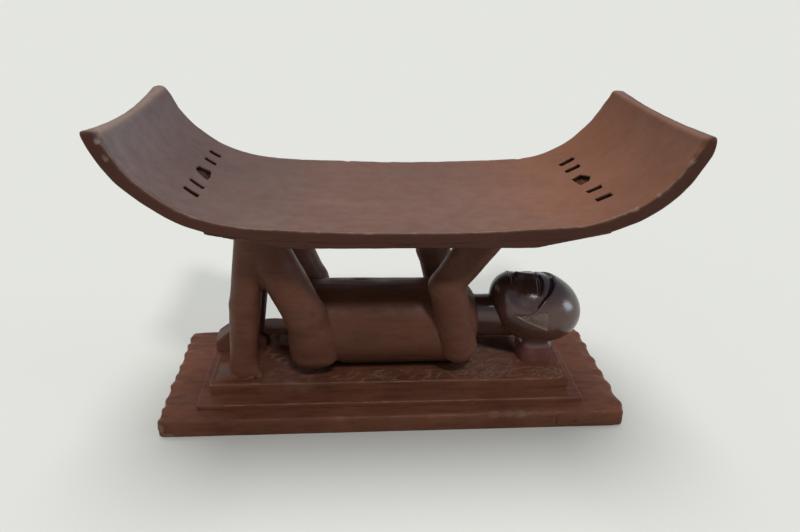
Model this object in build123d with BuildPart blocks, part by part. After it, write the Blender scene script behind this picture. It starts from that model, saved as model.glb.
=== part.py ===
from build123d import *
import os
from math import cos, radians, sin, sqrt

# Ashanti-style stool: a curved seat carried by a figure that lies on its back on a
# stepped base, with its knees and hands under the seat. Millimetres, +Z up, +X towards
# the figure's head, -Y on the figure's left. The origin is under the middle of the base.

# Fits
fit = 0.15                  # clearance round every tenon and housed step
scribe = 0.2                # clearance where one rounded form is scribed into another

# Base: a slab with two steps
slab_length = 570.0
slab_depth = 196.0
slab_height = 24.0
slab_round = 8.0            # upright corners
slab_edge_round = 5.0
slab_foot_round = 2.0
middle_step_length = 478.0
middle_step_depth = 158.0
middle_step_rise = 7.0
top_step_length = 452.0
top_step_depth = 116.0
top_step_rise = 15.0
step_shift = -5.0           # both steps sit a little towards the figure's feet
step_round = 2.5
housing_depth = 3.0         # how far each step is let into the one below

# Seat: a plate of even thickness that turns up at both ends
seat_depth = 235.0
seat_thickness = 14.0
seat_flat_radius = 2100.0   # the middle is nearly level
seat_flat_angle = 4.5       # slope where the level middle ends
seat_bend_radius = 157.0
seat_bend_angle = 40.0      # slope where the bend tightens into the tip
seat_tip_radius = 100.0
seat_tip_angle = 79.0       # slope at the end of the tip
seat_clearance = 257.0      # height of the underplate's level face
seat_edge_round = 3.0
seat_corner_round = 6.0
seat_dish_depth = 3.5       # hollow across the seat
seat_dish_margin = 6.0

# Cut ornament near each end of the seat: two slots, a lozenge, two slots
slot_length = 18.0
slot_width = 7.0
slot_depth = 6.5
lozenge_length = 18.5
lozenge_width = 27.0
slot_pitch = 28.0
slot_row_offset = 38.5      # from the row's middle to the nearer slots
slot_row_angle = 26.0       # slope of the seat where the row of cuts lies
slot_shift = {-1: 12.0, 1: 2.5}         # how far each end's slots are off centre
lozenge_shift = {-1: 12.0, 1: 4.0}      # and its lozenge

# Underplate: the raised pad on the seat's underside
pad_thickness = 3.0
pad_flat_half = 128.0
pad_half_length = 208.0
pad_end_rise = 15.0         # how far the pad's underside rises towards its ends
pad_inset = 1.5

# Figure: trunk and neck
torso_radius = 52.5
torso_foot_end = 128.0      # reach of the pelvis from the origin, towards -X
torso_head_end = 104.0
torso_end_round = 30.0
bed_height = 3.5            # the trunk's underside stands this far off the deck
bed_half_width = 17.0
bed_start_x = -70.0
bed_end_x = 74.0
torso_tenon_x = 40.0
neck_radius = 22.0
neck_rise = 12.5            # neck axis above the trunk's axis
neck_start_x = 85.0
neck_end_x = 138.0

# Figure: head
head_half_length = 61.0
head_half_width = 45.0
head_tilt = 18.0            # the crown lies lower than the chin
head_x = 180.0
head_rise = 72.0            # head centre above the deck
chin_x, chin_radius = 144.5, 22.0
chin_rise = 26.0            # above the head's centre
ear_front = 34.0            # ear's front corner, from the head's centre towards the chin
ear_back = 7.0              # ear's rear corners, towards the crown
ear_top = 14.0              # above the head's centre
ear_bottom = 8.0            # below it
ear_proud = 1.5
ear_root_y = 30.0           # inner face of the ear's plug
rest_x = 186.0
rest_length = 42.0
rest_depth = 48.0
rest_height = 34.0
rest_round = 6.0

# Figure: legs. Each form runs through round stations, given by x, y and radius.
hip_x, hip_y, hip_radius = -104.5, 22.0, 27.0
hip_flat = 1.0              # how far the hip is flattened on the deck
thigh_x, thigh_y, thigh_radius = -111.5, 45.0, 23.5
thigh_rise = 91.0           # middle station, above the deck
knee_x, knee_y, knee_radius = -161.0, 56.0, 22.5
knee_split_x = -158.5       # where the thigh meets the shin
knee_tenon_drop = 26.0      # below the underplate
calf_x, calf_y, calf_radius = -180.0, 48.0, 18.0
calf_rise = 108.0
ankle_x, ankle_y, ankle_radius = -190.0, 32.0, 15.5
foot_heel_x = -169.0
foot_toe_x = -230.0
foot_width = 34.0
foot_height = 15.0          # under the ankle
instep_height = 36.0
instep_start = 8.0          # from the ankle's axis to the back of the instep
toe_height = 14.0
foot_round = 3.0
heel_block_reach = 32.0     # wood left standing behind the right heel
heel_block_y = 41.0
heel_block_depth = 30.0
heel_block_height = 22.0

# Figure: arms
shoulder_x, shoulder_y, shoulder_radius = 77.0, 40.0, 22.5
shoulder_rise = 42.0
elbow_x, elbow_y, elbow_radius = 56.0, 53.0, 22.0
elbow_rise = 132.0
forearm_x, forearm_radius = 53.5, 19.5      # forearm's lower end, slimmer than the elbow
hand_x, hand_y, hand_radius = 104.0, 55.0, 23.0

# Tenons, each part of the piece that carries it
tenon_radius = 7.0
slim_tenon_radius = 5.0
tenon_length = 9.0
seat_tenon_depth = 6.5      # into the seat, past the underplate
thigh_tenon_x = -145.0

deck_z = slab_height + middle_step_rise + top_step_rise
torso_z = deck_z + bed_height + torso_radius
neck_z = torso_z + neck_rise
head_z = deck_z + head_rise
hip_z = deck_z + hip_radius - hip_flat
thigh_z = deck_z + thigh_rise
calf_z = deck_z + calf_rise
foot_top_z = deck_z + foot_height
shoulder_z = deck_z + shoulder_rise
elbow_z = deck_z + elbow_rise
seat_under_z = seat_clearance + pad_thickness
seat_top_z = seat_under_z + seat_thickness
head_plane = Plane(
    origin=(head_x, 0, head_z),
    x_dir=(cos(radians(head_tilt)), 0, -sin(radians(head_tilt))),
    z_dir=(0, -1, 0),
)
seat_section_plane = Plane(origin=(0, 0, seat_top_z), x_dir=(0, 1, 0), z_dir=(1, 0, 0))
dish_half_width = seat_depth / 2 - seat_dish_margin
joint_bulge = 1.004         # the round joints stand a hair proud of the limbs
reach = 400.0               # larger than any piece, for cutting away a half space
STANDING = (Align.CENTER, Align.CENTER, Align.MIN)
HANGING = (Align.CENTER, Align.CENTER, Align.MAX)
SIDES = {"left": -1, "right": 1}

os.makedirs("parts", exist_ok=True)


def save(part, name):
    """Labels one finished piece and writes it."""
    part.label = name
    export_step(part, f"parts/{name}.step")


def limb_form(stations, grow=0.0):
    """A limb of straight tapered runs with round joints; a station is (x, y, z, radius)."""
    with BuildPart() as form:
        for x, y, z, radius in stations:
            with Locations((x, y, z)):
                Sphere(radius * joint_bulge + grow)
        for lower, upper in zip(stations, stations[1:]):
            start, end = Vector(*lower[:3]), Vector(*upper[:3])
            run = end - start
            with Locations(Plane(origin=start, z_dir=run)):
                if lower[3] == upper[3]:
                    Cylinder(lower[3] + grow, run.length, align=STANDING)
                else:
                    Cone(lower[3] + grow, upper[3] + grow, run.length, align=STANDING)
    return form.part


def thigh_form(side, grow=0.0):
    """The whole thigh from the hip to above the underplate."""
    return limb_form(
        [
            (hip_x, side * hip_y, hip_z, hip_radius),
            (thigh_x, side * thigh_y, thigh_z, thigh_radius),
            (knee_x, side * knee_y, seat_clearance, knee_radius),
        ],
        grow,
    )


def shin_form(side, grow=0.0):
    """The whole shin from above the underplate to below the ankle."""
    return limb_form(
        [
            (ankle_x, side * ankle_y, foot_top_z, ankle_radius),
            (calf_x, side * calf_y, calf_z, calf_radius),
            (knee_x, side * knee_y, seat_clearance, calf_radius),
        ],
        grow,
    )


def shin_above_foot(side):
    """The room the shin takes up, with its clearance, above the foot's level top."""
    with BuildPart() as room:
        add(shin_form(side, scribe))
        with Locations((ankle_x, side * ankle_y, foot_top_z)):
            Box(reach, reach, reach, align=HANGING, mode=Mode.SUBTRACT)
    return room.part


def upper_arm_form(side, grow=0.0):
    """The upper arm from the shoulder's ball to the elbow's."""
    return limb_form(
        [
            (shoulder_x, side * shoulder_y, shoulder_z, shoulder_radius),
            (elbow_x, side * elbow_y, elbow_z, elbow_radius),
        ],
        grow,
    )


def forearm_form(side):
    """The forearm from the elbow's ball to the hand, which spreads under the seat."""
    return limb_form(
        [
            (forearm_x, side * elbow_y, elbow_z, forearm_radius),
            (hand_x, side * hand_y, seat_clearance, hand_radius),
        ]
    )


def head_form(grow=0.0):
    """The head's egg shape: a ball drawn out along its long axis."""
    ball = Sphere(head_half_width + grow, mode=Mode.PRIVATE)
    stretch = (head_half_length + grow) / (head_half_width + grow)
    egg = scale(ball, by=(stretch, 1, 1), mode=Mode.PRIVATE)
    return head_plane.location * egg


def ear_plug(side, grow=0.0):
    """A three-cornered plug through the side of the head, wider than the head."""
    front, back = head_x - ear_front, head_x + ear_back
    top, bottom = head_z + ear_top, head_z - ear_bottom
    with BuildPart() as plug:
        with BuildSketch(Plane.XZ.offset(-side * (ear_root_y - grow))):
            Polygon((front, top), (back, top), (back, bottom), align=None)
            if grow:
                offset(amount=grow, kind=Kind.INTERSECTION)
        extrude(amount=-side * head_half_width)
    return plug.part


def pad_underside():
    """Half of the underplate's underside, as points in the XZ plane."""
    return [(0, seat_clearance), (pad_flat_half, seat_clearance),
            (pad_half_length, seat_clearance + pad_end_rise)]


def above_pad_form():
    """All the space above the underplate's underside."""
    with BuildPart() as form:
        with BuildSketch(Plane.XZ):
            Polygon(*pad_underside(), (pad_half_length, reach), (0, reach), align=None)
            mirror(about=Plane.YZ)
        extrude(amount=seat_depth, both=True)
    return form.part


def seat_under_at(x):
    """Height of the seat's underside at x, in its nearly level middle."""
    radius = seat_flat_radius + seat_thickness
    return seat_under_z + radius - sqrt(radius**2 - x**2)


def seat_arcs(drop):
    """Adds the arcs from the seat's middle to its tip, drop below the upper face."""
    flat = JernArc(
        (0, seat_top_z - drop), (1, 0), seat_flat_radius + drop, seat_flat_angle
    )
    bend = JernArc(
        flat @ 1, flat % 1, seat_bend_radius + drop, seat_bend_angle - seat_flat_angle
    )
    tip = JernArc(
        bend @ 1, bend % 1, seat_tip_radius + drop, seat_tip_angle - seat_bend_angle
    )
    return flat, bend, tip


def upright_tenon(x, y, bottom, top, radius=tenon_radius):
    """Adds a tenon that stands up."""
    with Locations((x, y, bottom)):
        Cylinder(radius, top - bottom, align=STANDING)


def upright_mortise(x, y, bottom, top, radius=tenon_radius):
    """Cuts the hole for a tenon that stands between bottom and top."""
    with Locations((x, y, bottom - fit)):
        Cylinder(radius + fit, top - bottom + 2 * fit, align=STANDING, mode=Mode.SUBTRACT)


# ---------------------------------------------------------------- base
with BuildPart() as base_slab:
    Box(slab_length, slab_depth, slab_height, align=STANDING)
    fillet(base_slab.edges().filter_by(Axis.Z), slab_round)
    fillet(base_slab.edges().group_by(Axis.Z)[-1], slab_edge_round)
    fillet(base_slab.edges().group_by(Axis.Z)[0], slab_foot_round)
    with Locations((step_shift, 0, slab_height - housing_depth)):
        Box(
            middle_step_length + 2 * fit,
            middle_step_depth + 2 * fit,
            slab_height,
            align=STANDING,
            mode=Mode.SUBTRACT,
        )
save(base_slab.part, "base_slab")

with BuildPart() as base_middle_step:
    with Locations((step_shift, 0, slab_height - housing_depth)):
        Box(
            middle_step_length,
            middle_step_depth,
            middle_step_rise + housing_depth,
            align=STANDING,
        )
    fillet(base_middle_step.edges().group_by(Axis.Z)[-1], step_round)
    with Locations((step_shift, 0, slab_height + middle_step_rise - housing_depth)):
        Box(
            top_step_length + 2 * fit,
            top_step_depth + 2 * fit,
            slab_height,
            align=STANDING,
            mode=Mode.SUBTRACT,
        )
save(base_middle_step.part, "base_middle_step")

with BuildPart() as base_top_step:
    with Locations((step_shift, 0, deck_z)):
        Box(
            top_step_length,
            top_step_depth,
            top_step_rise + housing_depth,
            align=HANGING,
        )
    fillet(base_top_step.edges().group_by(Axis.Z)[-1], step_round)
    for side in SIDES.values():
        upright_mortise(hip_x, side * hip_y, deck_z - tenon_length, deck_z)
        upright_mortise(ankle_x, side * ankle_y, deck_z - tenon_length, deck_z)
        upright_mortise(side * torso_tenon_x, 0, deck_z - tenon_length, deck_z)
    upright_mortise(rest_x, 0, deck_z - tenon_length, deck_z)
save(base_top_step.part, "base_top_step")

# ---------------------------------------------------------------- seat
with BuildSketch(seat_section_plane) as seat_section:
    with BuildLine():
        dish = ThreePointArc(
            (-dish_half_width, 0), (0, -seat_dish_depth), (dish_half_width, 0)
        )
        Polyline(
            dish @ 1,
            (seat_depth / 2, 0),
            (seat_depth / 2, -seat_thickness),
            (-seat_depth / 2, -seat_thickness),
            (-seat_depth / 2, 0),
            dish @ 0,
        )
    make_face()

with BuildLine(Plane.XZ):
    path_flat, path_bend, path_tip = seat_arcs(0)

with BuildPart() as seat:
    section = seat_section.sketch.faces()
    for arc, arc_radius in (
        (path_flat, seat_flat_radius),
        (path_bend, seat_bend_radius),
        (path_tip, seat_tip_radius),
    ):
        centre = arc @ 0 + (arc % 0).rotate(Axis.Y, -90) * arc_radius
        turn = (arc % 0).get_angle(arc % 1)
        revolve(section, axis=Axis(centre, (0, -1, 0)), revolution_arc=turn)
        section = seat.faces().sort_by(Axis.X)[-1:]
    mirror(about=Plane.YZ)
    corners = seat.edges().filter_by(GeomType.LINE).filter_by(Axis.Y, reverse=True)
    fillet(corners, seat_corner_round)
    rims = seat.edges().filter_by(lambda edge: abs(edge.center().Y) > dish_half_width)
    fillet(rims.filter_by(Axis.Y, reverse=True), seat_edge_round)
    row_position = (slot_row_angle - seat_flat_angle) / (seat_bend_angle - seat_flat_angle)
    row_point = path_bend @ row_position
    row_slope = path_bend % row_position
    for end in (-1, 1):
        row_plane = Plane(
            origin=(end * row_point.X, 0, row_point.Z),
            x_dir=(row_slope.X, 0, end * row_slope.Z),
            z_dir=(-end * row_slope.Z, 0, row_slope.X),
        )
        with BuildSketch(row_plane.offset(slot_width)):
            for offset_y in (slot_row_offset, slot_row_offset + slot_pitch):
                with Locations(
                    (0, slot_shift[end] + offset_y), (0, slot_shift[end] - offset_y)
                ):
                    Rectangle(slot_length, slot_width)
            with Locations((0, lozenge_shift[end])):
                Ellipse(lozenge_length / 2, lozenge_width / 2)
        extrude(amount=-slot_width - seat_dish_depth - slot_depth, mode=Mode.SUBTRACT)
    for side in SIDES.values():
        for x, y in ((thigh_tenon_x, knee_y), (hand_x, hand_y)):
            upright_mortise(x, side * y, seat_clearance, seat_under_at(x) + seat_tenon_depth)
save(seat.part, "seat")

with BuildPart() as seat_underplate:
    with BuildSketch(Plane.XZ):
        Polygon(*pad_underside(), (pad_half_length, seat_top_z), (0, seat_top_z), align=None)
        with BuildLine():
            pad_flat, pad_bend, pad_tip = seat_arcs(seat_thickness)
            Polyline(pad_tip @ 1, (0, (pad_tip @ 1).Y), pad_flat @ 0)
        make_face(mode=Mode.SUBTRACT)
        mirror(about=Plane.YZ)
    extrude(amount=seat_depth / 2 - pad_inset, both=True)
    for side in SIDES.values():
        for x, y in ((thigh_tenon_x, knee_y), (hand_x, hand_y)):
            upright_mortise(x, side * y, seat_clearance, seat_top_z)
save(seat_underplate.part, "seat_underplate")

# ---------------------------------------------------------------- trunk, neck and head
with BuildPart() as torso:
    with Locations(Plane(origin=(-torso_foot_end, 0, torso_z), z_dir=(1, 0, 0))):
        Cylinder(torso_radius, torso_foot_end + torso_head_end, align=STANDING)
    fillet(torso.edges().filter_by(GeomType.CIRCLE), torso_end_round)
    with Locations(((bed_start_x + bed_end_x) / 2, 0, deck_z)):
        Box(bed_end_x - bed_start_x, 2 * bed_half_width, torso_radius, align=STANDING)
    for side in SIDES.values():
        add(thigh_form(side, scribe), mode=Mode.SUBTRACT)
        add(upper_arm_form(side, scribe), mode=Mode.SUBTRACT)
        with Locations(
            Plane(
                origin=(shoulder_x, side * shoulder_y, shoulder_z),
                z_dir=(0, -side, 0),
            )
        ):
            Cylinder(
                tenon_radius + fit,
                shoulder_radius + tenon_length + fit,
                align=STANDING,
                mode=Mode.SUBTRACT,
            )
        upright_tenon(side * torso_tenon_x, 0, deck_z - tenon_length, deck_z)
    with Locations(Plane(origin=(neck_start_x - fit, 0, neck_z), z_dir=(1, 0, 0))):
        Cylinder(neck_radius + fit, torso_radius, align=STANDING, mode=Mode.SUBTRACT)
save(torso.part, "torso")

with BuildPart() as neck:
    with Locations(Plane(origin=(neck_start_x, 0, neck_z), z_dir=(1, 0, 0))):
        Cylinder(neck_radius, neck_end_x - neck_start_x, align=STANDING)
save(neck.part, "neck")

with BuildPart() as head:
    add(head_form())
    with Locations((chin_x, 0, head_z + chin_rise)):
        Sphere(chin_radius)
    with Locations(Plane(origin=(neck_end_x + fit, 0, neck_z), z_dir=(-1, 0, 0))):
        Cylinder(neck_radius + fit, head_half_length, align=STANDING, mode=Mode.SUBTRACT)
    for side in SIDES.values():
        add(ear_plug(side, fit), mode=Mode.SUBTRACT)
save(head.part, "head")

for side_name, side in SIDES.items():
    with BuildPart() as ear:
        add(ear_plug(side))
        add(head_form(ear_proud), mode=Mode.INTERSECT)
    save(ear.part, f"{side_name}_ear")

with BuildPart() as head_rest:
    with Locations((rest_x, 0, deck_z)):
        Box(rest_length, rest_depth, rest_height, align=STANDING)
    fillet(head_rest.edges().filter_by(Axis.Z), rest_round)
    upright_tenon(rest_x, 0, deck_z - tenon_length, deck_z)
    add(head_form(scribe), mode=Mode.SUBTRACT)
save(head_rest.part, "head_rest")

# ---------------------------------------------------------------- legs and arms
for side_name, side in SIDES.items():
    with BuildPart() as thigh:
        add(thigh_form(side))
        add(above_pad_form(), mode=Mode.SUBTRACT)
        with Locations((knee_split_x, side * knee_y, seat_clearance)):
            Box(
                reach,
                reach,
                reach,
                align=(Align.MAX, Align.CENTER, Align.CENTER),
                mode=Mode.SUBTRACT,
            )
        with Locations((hip_x, side * hip_y, deck_z)):
            Box(reach, reach, reach, align=HANGING, mode=Mode.SUBTRACT)
        with Locations((hip_x, side * (fit - reach / 2), hip_z)):
            Box(reach, reach, reach, mode=Mode.SUBTRACT)
        upright_tenon(hip_x, side * hip_y, deck_z - tenon_length, deck_z)
        upright_tenon(
            thigh_tenon_x,
            side * knee_y,
            seat_clearance - tenon_length,
            seat_under_at(thigh_tenon_x) + seat_tenon_depth,
        )
        with Locations(
            Plane(
                origin=(knee_split_x, side * knee_y, seat_clearance - knee_tenon_drop),
                z_dir=(1, 0, 0),
            )
        ):
            Cylinder(
                slim_tenon_radius + fit,
                tenon_length + fit,
                align=STANDING,
                mode=Mode.SUBTRACT,
            )
    save(thigh.part, f"{side_name}_thigh")

    with BuildPart() as shin:
        add(shin_form(side))
        add(above_pad_form(), mode=Mode.SUBTRACT)
        with Locations((knee_split_x, side * knee_y, seat_clearance)):
            Box(
                reach,
                reach,
                reach,
                align=(Align.MIN, Align.CENTER, Align.CENTER),
                mode=Mode.SUBTRACT,
            )
        with Locations((ankle_x, side * ankle_y, foot_top_z)):
            Box(reach, reach, reach, align=HANGING, mode=Mode.SUBTRACT)
        upright_tenon(
            ankle_x, side * ankle_y, foot_top_z - tenon_length, foot_top_z, slim_tenon_radius
        )
        with Locations(
            Plane(
                origin=(knee_split_x, side * knee_y, seat_clearance - knee_tenon_drop),
                z_dir=(1, 0, 0),
            )
        ):
            Cylinder(slim_tenon_radius, 2 * tenon_length, mode=Mode.ADD)
    save(shin.part, f"{side_name}_shin")

    with BuildPart() as foot:
        with BuildSketch(Plane.XZ.offset(-side * ankle_y)):
            Polygon(
                (foot_heel_x, deck_z),
                (foot_heel_x, foot_top_z),
                (ankle_x - instep_start, foot_top_z),
                (ankle_x - instep_start, deck_z + instep_height),
                (foot_toe_x, deck_z + toe_height),
                (foot_toe_x, deck_z),
                align=None,
            )
        extrude(amount=foot_width / 2, both=True)
        fillet(foot.edges().group_by(Axis.X)[0].filter_by(Axis.Z), foot_round)
        fillet(foot.edges().group_by(Axis.X)[-1].filter_by(Axis.Z), foot_round)
        if side == SIDES["right"]:
            with Locations((foot_heel_x - foot_round, side * heel_block_y, deck_z)):
                Box(
                    foot_round + heel_block_reach,
                    heel_block_depth,
                    heel_block_height,
                    align=(Align.MIN, Align.CENTER, Align.MIN),
                )
        add(shin_above_foot(side), mode=Mode.SUBTRACT)
        upright_mortise(
            ankle_x, side * ankle_y, foot_top_z - tenon_length, foot_top_z, slim_tenon_radius
        )
        upright_tenon(ankle_x, side * ankle_y, deck_z - tenon_length, deck_z)
    save(foot.part, f"{side_name}_foot")

    with BuildPart() as upper_arm:
        add(upper_arm_form(side))
        with Locations((elbow_x, side * elbow_y, elbow_z)):
            Box(reach, reach, reach, align=STANDING, mode=Mode.SUBTRACT)
        with Locations(
            Plane(
                origin=(shoulder_x, side * shoulder_y, shoulder_z),
                z_dir=(0, -side, 0),
            )
        ):
            Cylinder(tenon_radius, shoulder_radius + tenon_length, align=STANDING)
        upright_tenon(
            elbow_x, side * elbow_y, elbow_z - tenon_length, elbow_z + tenon_length
        )
    save(upper_arm.part, f"{side_name}_upper_arm")

    with BuildPart() as forearm:
        add(forearm_form(side))
        add(above_pad_form(), mode=Mode.SUBTRACT)
        with Locations((elbow_x, side * elbow_y, elbow_z)):
            Box(reach, reach, reach, align=HANGING, mode=Mode.SUBTRACT)
        upright_mortise(
            elbow_x, side * elbow_y, elbow_z, elbow_z + tenon_length
        )
        upright_tenon(
            hand_x,
            side * hand_y,
            seat_clearance - tenon_length,
            seat_under_at(hand_x) + seat_tenon_depth,
        )
    save(forearm.part, f"{side_name}_forearm")
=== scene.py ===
import math
from itertools import product

import bpy
import numpy as np
from mathutils import Euler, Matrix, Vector


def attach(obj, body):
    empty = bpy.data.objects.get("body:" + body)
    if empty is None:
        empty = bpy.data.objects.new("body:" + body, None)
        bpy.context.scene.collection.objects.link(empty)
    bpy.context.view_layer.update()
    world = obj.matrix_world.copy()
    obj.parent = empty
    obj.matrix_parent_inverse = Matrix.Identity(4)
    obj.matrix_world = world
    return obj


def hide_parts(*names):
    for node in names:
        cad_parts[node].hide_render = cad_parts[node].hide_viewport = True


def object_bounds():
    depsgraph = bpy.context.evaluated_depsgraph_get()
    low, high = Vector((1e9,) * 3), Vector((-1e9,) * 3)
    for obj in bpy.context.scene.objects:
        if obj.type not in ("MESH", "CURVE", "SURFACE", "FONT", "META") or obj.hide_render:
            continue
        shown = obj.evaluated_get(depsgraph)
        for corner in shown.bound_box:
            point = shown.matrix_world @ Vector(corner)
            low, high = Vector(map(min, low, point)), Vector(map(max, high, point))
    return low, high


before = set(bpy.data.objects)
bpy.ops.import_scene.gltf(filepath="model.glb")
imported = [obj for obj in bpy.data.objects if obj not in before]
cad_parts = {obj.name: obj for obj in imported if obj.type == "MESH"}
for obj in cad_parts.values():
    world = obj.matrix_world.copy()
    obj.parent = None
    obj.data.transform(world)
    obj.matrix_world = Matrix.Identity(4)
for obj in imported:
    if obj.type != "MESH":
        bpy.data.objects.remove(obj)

bl_info = {
    "name": "Carved stool",
    "version": (1, 0, 0),
    "blender": (4, 5, 0),
    "location": "View3D > Sidebar > Stool",
    "description": "Carves an Ashanti-style stool with a reclining figure under its seat",
    "category": "Add Mesh",
}

MM = 0.001
TINY = 1e-6
SIDES = (("left", -1), ("right", 1))
CAD_LOW, CAD_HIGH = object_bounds()


# ------------------------------------------------------------------ sizes and colours
def length(name, description, default, low=0.0, high=1.0):
    """A length in metres that a user can change."""
    return bpy.props.FloatProperty(
        name=name, description=description, default=default, min=low, max=high,
        unit="LENGTH", subtype="DISTANCE", precision=4,
    )


def colour(name, description, default):
    """A colour that a user can change, in linear RGB."""
    return bpy.props.FloatVectorProperty(
        name=name, description=description, default=default, size=3, min=0.0, max=1.0,
        subtype="COLOR",
    )


class StoolSizes(bpy.types.PropertyGroup):
    """The sizes that shape the carving."""

    grain_step: length("Carving step", "Size of the finest cut that shows", 0.0012, 0.0005, 0.01)
    seat_depth: length("Seat depth", "Front to back across the seat", 0.235)
    seat_thickness: length("Seat thickness", "Thickness of the seat plate", 0.014)
    seat_dish: length("Seat dish", "How far the middle of the seat is hollowed", 0.0045)
    seat_height: length("Seat height", "Top of the seat at its middle, above the floor", 0.274)
    cut_depth: length("Cut depth", "Depth of the cuts at the seat's ends", 0.0065)
    slab_height: length("Slab height", "Height of the lowest tier", 0.024)
    middle_height: length("Middle height", "Top of the middle tier, above the floor", 0.031)
    deck_height: length("Deck height", "Top of the base, above the floor", 0.046)
    trunk_radius: length("Trunk radius", "Radius of the figure's trunk", 0.0525)
    trunk_height: length("Trunk height", "Middle of the trunk, above the floor", 0.102)
    head_tilt: bpy.props.FloatProperty(
        name="Head tilt", description="How far the crown lies below the chin",
        default=math.radians(18), subtype="ANGLE",
    )


class StoolColours(bpy.types.PropertyGroup):
    """The colours of the finish and of the floor."""

    seat: colour("Seat", "Stain on the seat", (0.150, 0.076, 0.053))
    seat_worn: colour("Worn seat end", "Pale rubbed wood at the seat's ends", (0.25, 0.175, 0.135))
    # Painted reflection: the bluish grey at the left tip and the greyer stain towards the left end
    # stand in for a cool sheen on the raised end.
    seat_tip_reflection: colour("Seat tip", "Rubbed grey stain at the left tip", (0.142, 0.103, 0.103))
    seat_left_sheen: colour("Seat left", "Greyer stain towards the left end", (0.105, 0.064, 0.054))
    seat_right: colour("Seat right", "Warmer stain towards the right end", (0.188, 0.078, 0.042))
    # Painted shade: the seat's sides and underside get a darker stain because they face away from
    # the light.
    seat_shaded_side: colour("Seat edge", "Thicker varnish on the seat's sides", (0.086, 0.034, 0.023))
    base: colour("Base", "Stain on the three tiers", (0.146, 0.058, 0.034))
    figure: colour("Figure", "Stain on the trunk and limbs", (0.142, 0.058, 0.036))
    rest: colour("Head rest", "Stain on the block under the head", (0.145, 0.062, 0.052))
    head: colour("Head", "Darker stain on the head", (0.092, 0.042, 0.031))
    # Also used for the painted light on the wood left standing behind the right heel.
    worn_and_lit: colour("Worn wood", "Pale wood at rubbed edges and chips", (0.215, 0.125, 0.090))
    # Dark colour for the hollows, for real dirt in the seat's cuts, and for painted shade on the
    # deck and under the neck.
    crevice_and_shade: colour("Crevice", "Old dirt and varnish in the hollows", (0.018, 0.008, 0.005))
    floor: colour("Floor", "Floor and background", (0.760, 0.768, 0.730))


def mm(name):
    """One of the stool's sizes in millimetres."""
    return getattr(bpy.context.scene.stool_sizes, name) / MM


# ------------------------------------------------------------------ carving tools
def spaced(low, high, step, fine_step=None, fine=()):
    """Grid lines from low to high, closer together inside the fine ranges."""
    lines = [low]
    while lines[-1] < high:
        near = any(a <= lines[-1] + step / 2 <= b for a, b in fine)
        lines.append(lines[-1] + (fine_step if near else step))
    return np.array(lines, np.float32)


def in_cells(x, y, z, size):
    """A point measured in cells of that size, which is one number or one for each axis."""
    sizes = size if isinstance(size, tuple) else (size,) * 3
    return [value / scale for value, scale in zip((x, y, z), sizes)]


def blend_corners(values, cell, part):
    """The value at a place inside each grid cell, blended from the cell's eight corners."""
    total = 0
    for i, j, k in product((0, 1), repeat=3):
        weight = (
            (part[0] if i else 1 - part[0])
            * (part[1] if j else 1 - part[1])
            * (part[2] if k else 1 - part[2])
        )
        total = total + weight * values[cell[0] + i, cell[1] + j, cell[2] + k]
    return total


class Noise:
    """Smooth repeatable noise from -1 to 1."""

    SIZE = 24

    def __init__(self, seed):
        rng = np.random.default_rng(seed)
        values = rng.uniform(-1, 1, (self.SIZE,) * 3).astype(np.float32)
        self.values = np.pad(values, (0, 1), mode="wrap")

    def __call__(self, x, y, z, size):
        cell, part = [], []
        for value in in_cells(x, y, z, size):
            floor = np.floor(value)
            cell.append(floor.astype(int) % self.SIZE)
            t = value - floor
            part.append(t * t * (3 - 2 * t))
        return blend_corners(self.values, cell, part)


class Scoops:
    """The shallow overlapping hollows that a small adze leaves: 0 at a ridge, 1 at the bottom."""

    SIZE = 16
    FAR = 9.0

    def __init__(self, seed):
        rng = np.random.default_rng(seed)
        self.points = rng.uniform(0.1, 0.9, (self.SIZE,) * 3 + (3,)).astype(np.float32)

    def __call__(self, x, y, z, size):
        at = in_cells(x, y, z, size)
        base = [np.floor(value).astype(int) for value in at]
        best = np.full(at[0].shape, self.FAR, np.float32)
        for i, j, k in product((-1, 0, 1), repeat=3):
            cell = (base[0] + i, base[1] + j, base[2] + k)
            point = self.points[tuple(c % self.SIZE for c in cell)]
            gap = sum((cell[a] + point[..., a] - at[a]) ** 2 for a in range(3))
            best = np.minimum(best, gap)
        return np.clip(1 - best, 0, 1)


def blend_min(a, b, radius):
    """The union of two forms with a soft hollow of that radius between them."""
    h = np.clip(0.5 + 0.5 * (b - a) / radius, 0, 1)
    return b + (a - b) * h - radius * h * (1 - h)


def blend_max(a, b, radius):
    """The overlap of two forms with a soft edge of that radius."""
    return -blend_min(-a, -b, radius)


def step_up(value, low, high):
    """0 below low, 1 above high, and a smooth rise between."""
    t = np.clip((value - low) / (high - low), 0, 1)
    return t * t * (3 - 2 * t)


def between(value, low, high, low_fade, high_fade):
    """1 between low and high, fading to 0 at both ends."""
    return step_up(value, low, low + low_fade) * step_up(high - value, 0, high_fade)


def hump(value, half_width):
    """1 where value is 0, falling in a round curve to 0 at half_width on either side."""
    return np.clip(1 - (value / half_width) ** 2, 0, 1)


def y_range(side, near, far):
    """The two y values between distances near and far from the middle, on that side."""
    return sorted((side * near, side * far))


def ball(x, y, z, centre, radius):
    return np.sqrt((x - centre[0]) ** 2 + (y - centre[1]) ** 2 + (z - centre[2]) ** 2) - radius


def egg(x, y, z, radii):
    """An egg of three radii, centred on the origin."""
    k0 = np.sqrt((x / radii[0]) ** 2 + (y / radii[1]) ** 2 + (z / radii[2]) ** 2)
    k1 = np.sqrt(
        (x / radii[0] ** 2) ** 2 + (y / radii[1] ** 2) ** 2 + (z / radii[2] ** 2) ** 2
    )
    return k0 * (k0 - 1) / np.maximum(k1, TINY)


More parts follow.
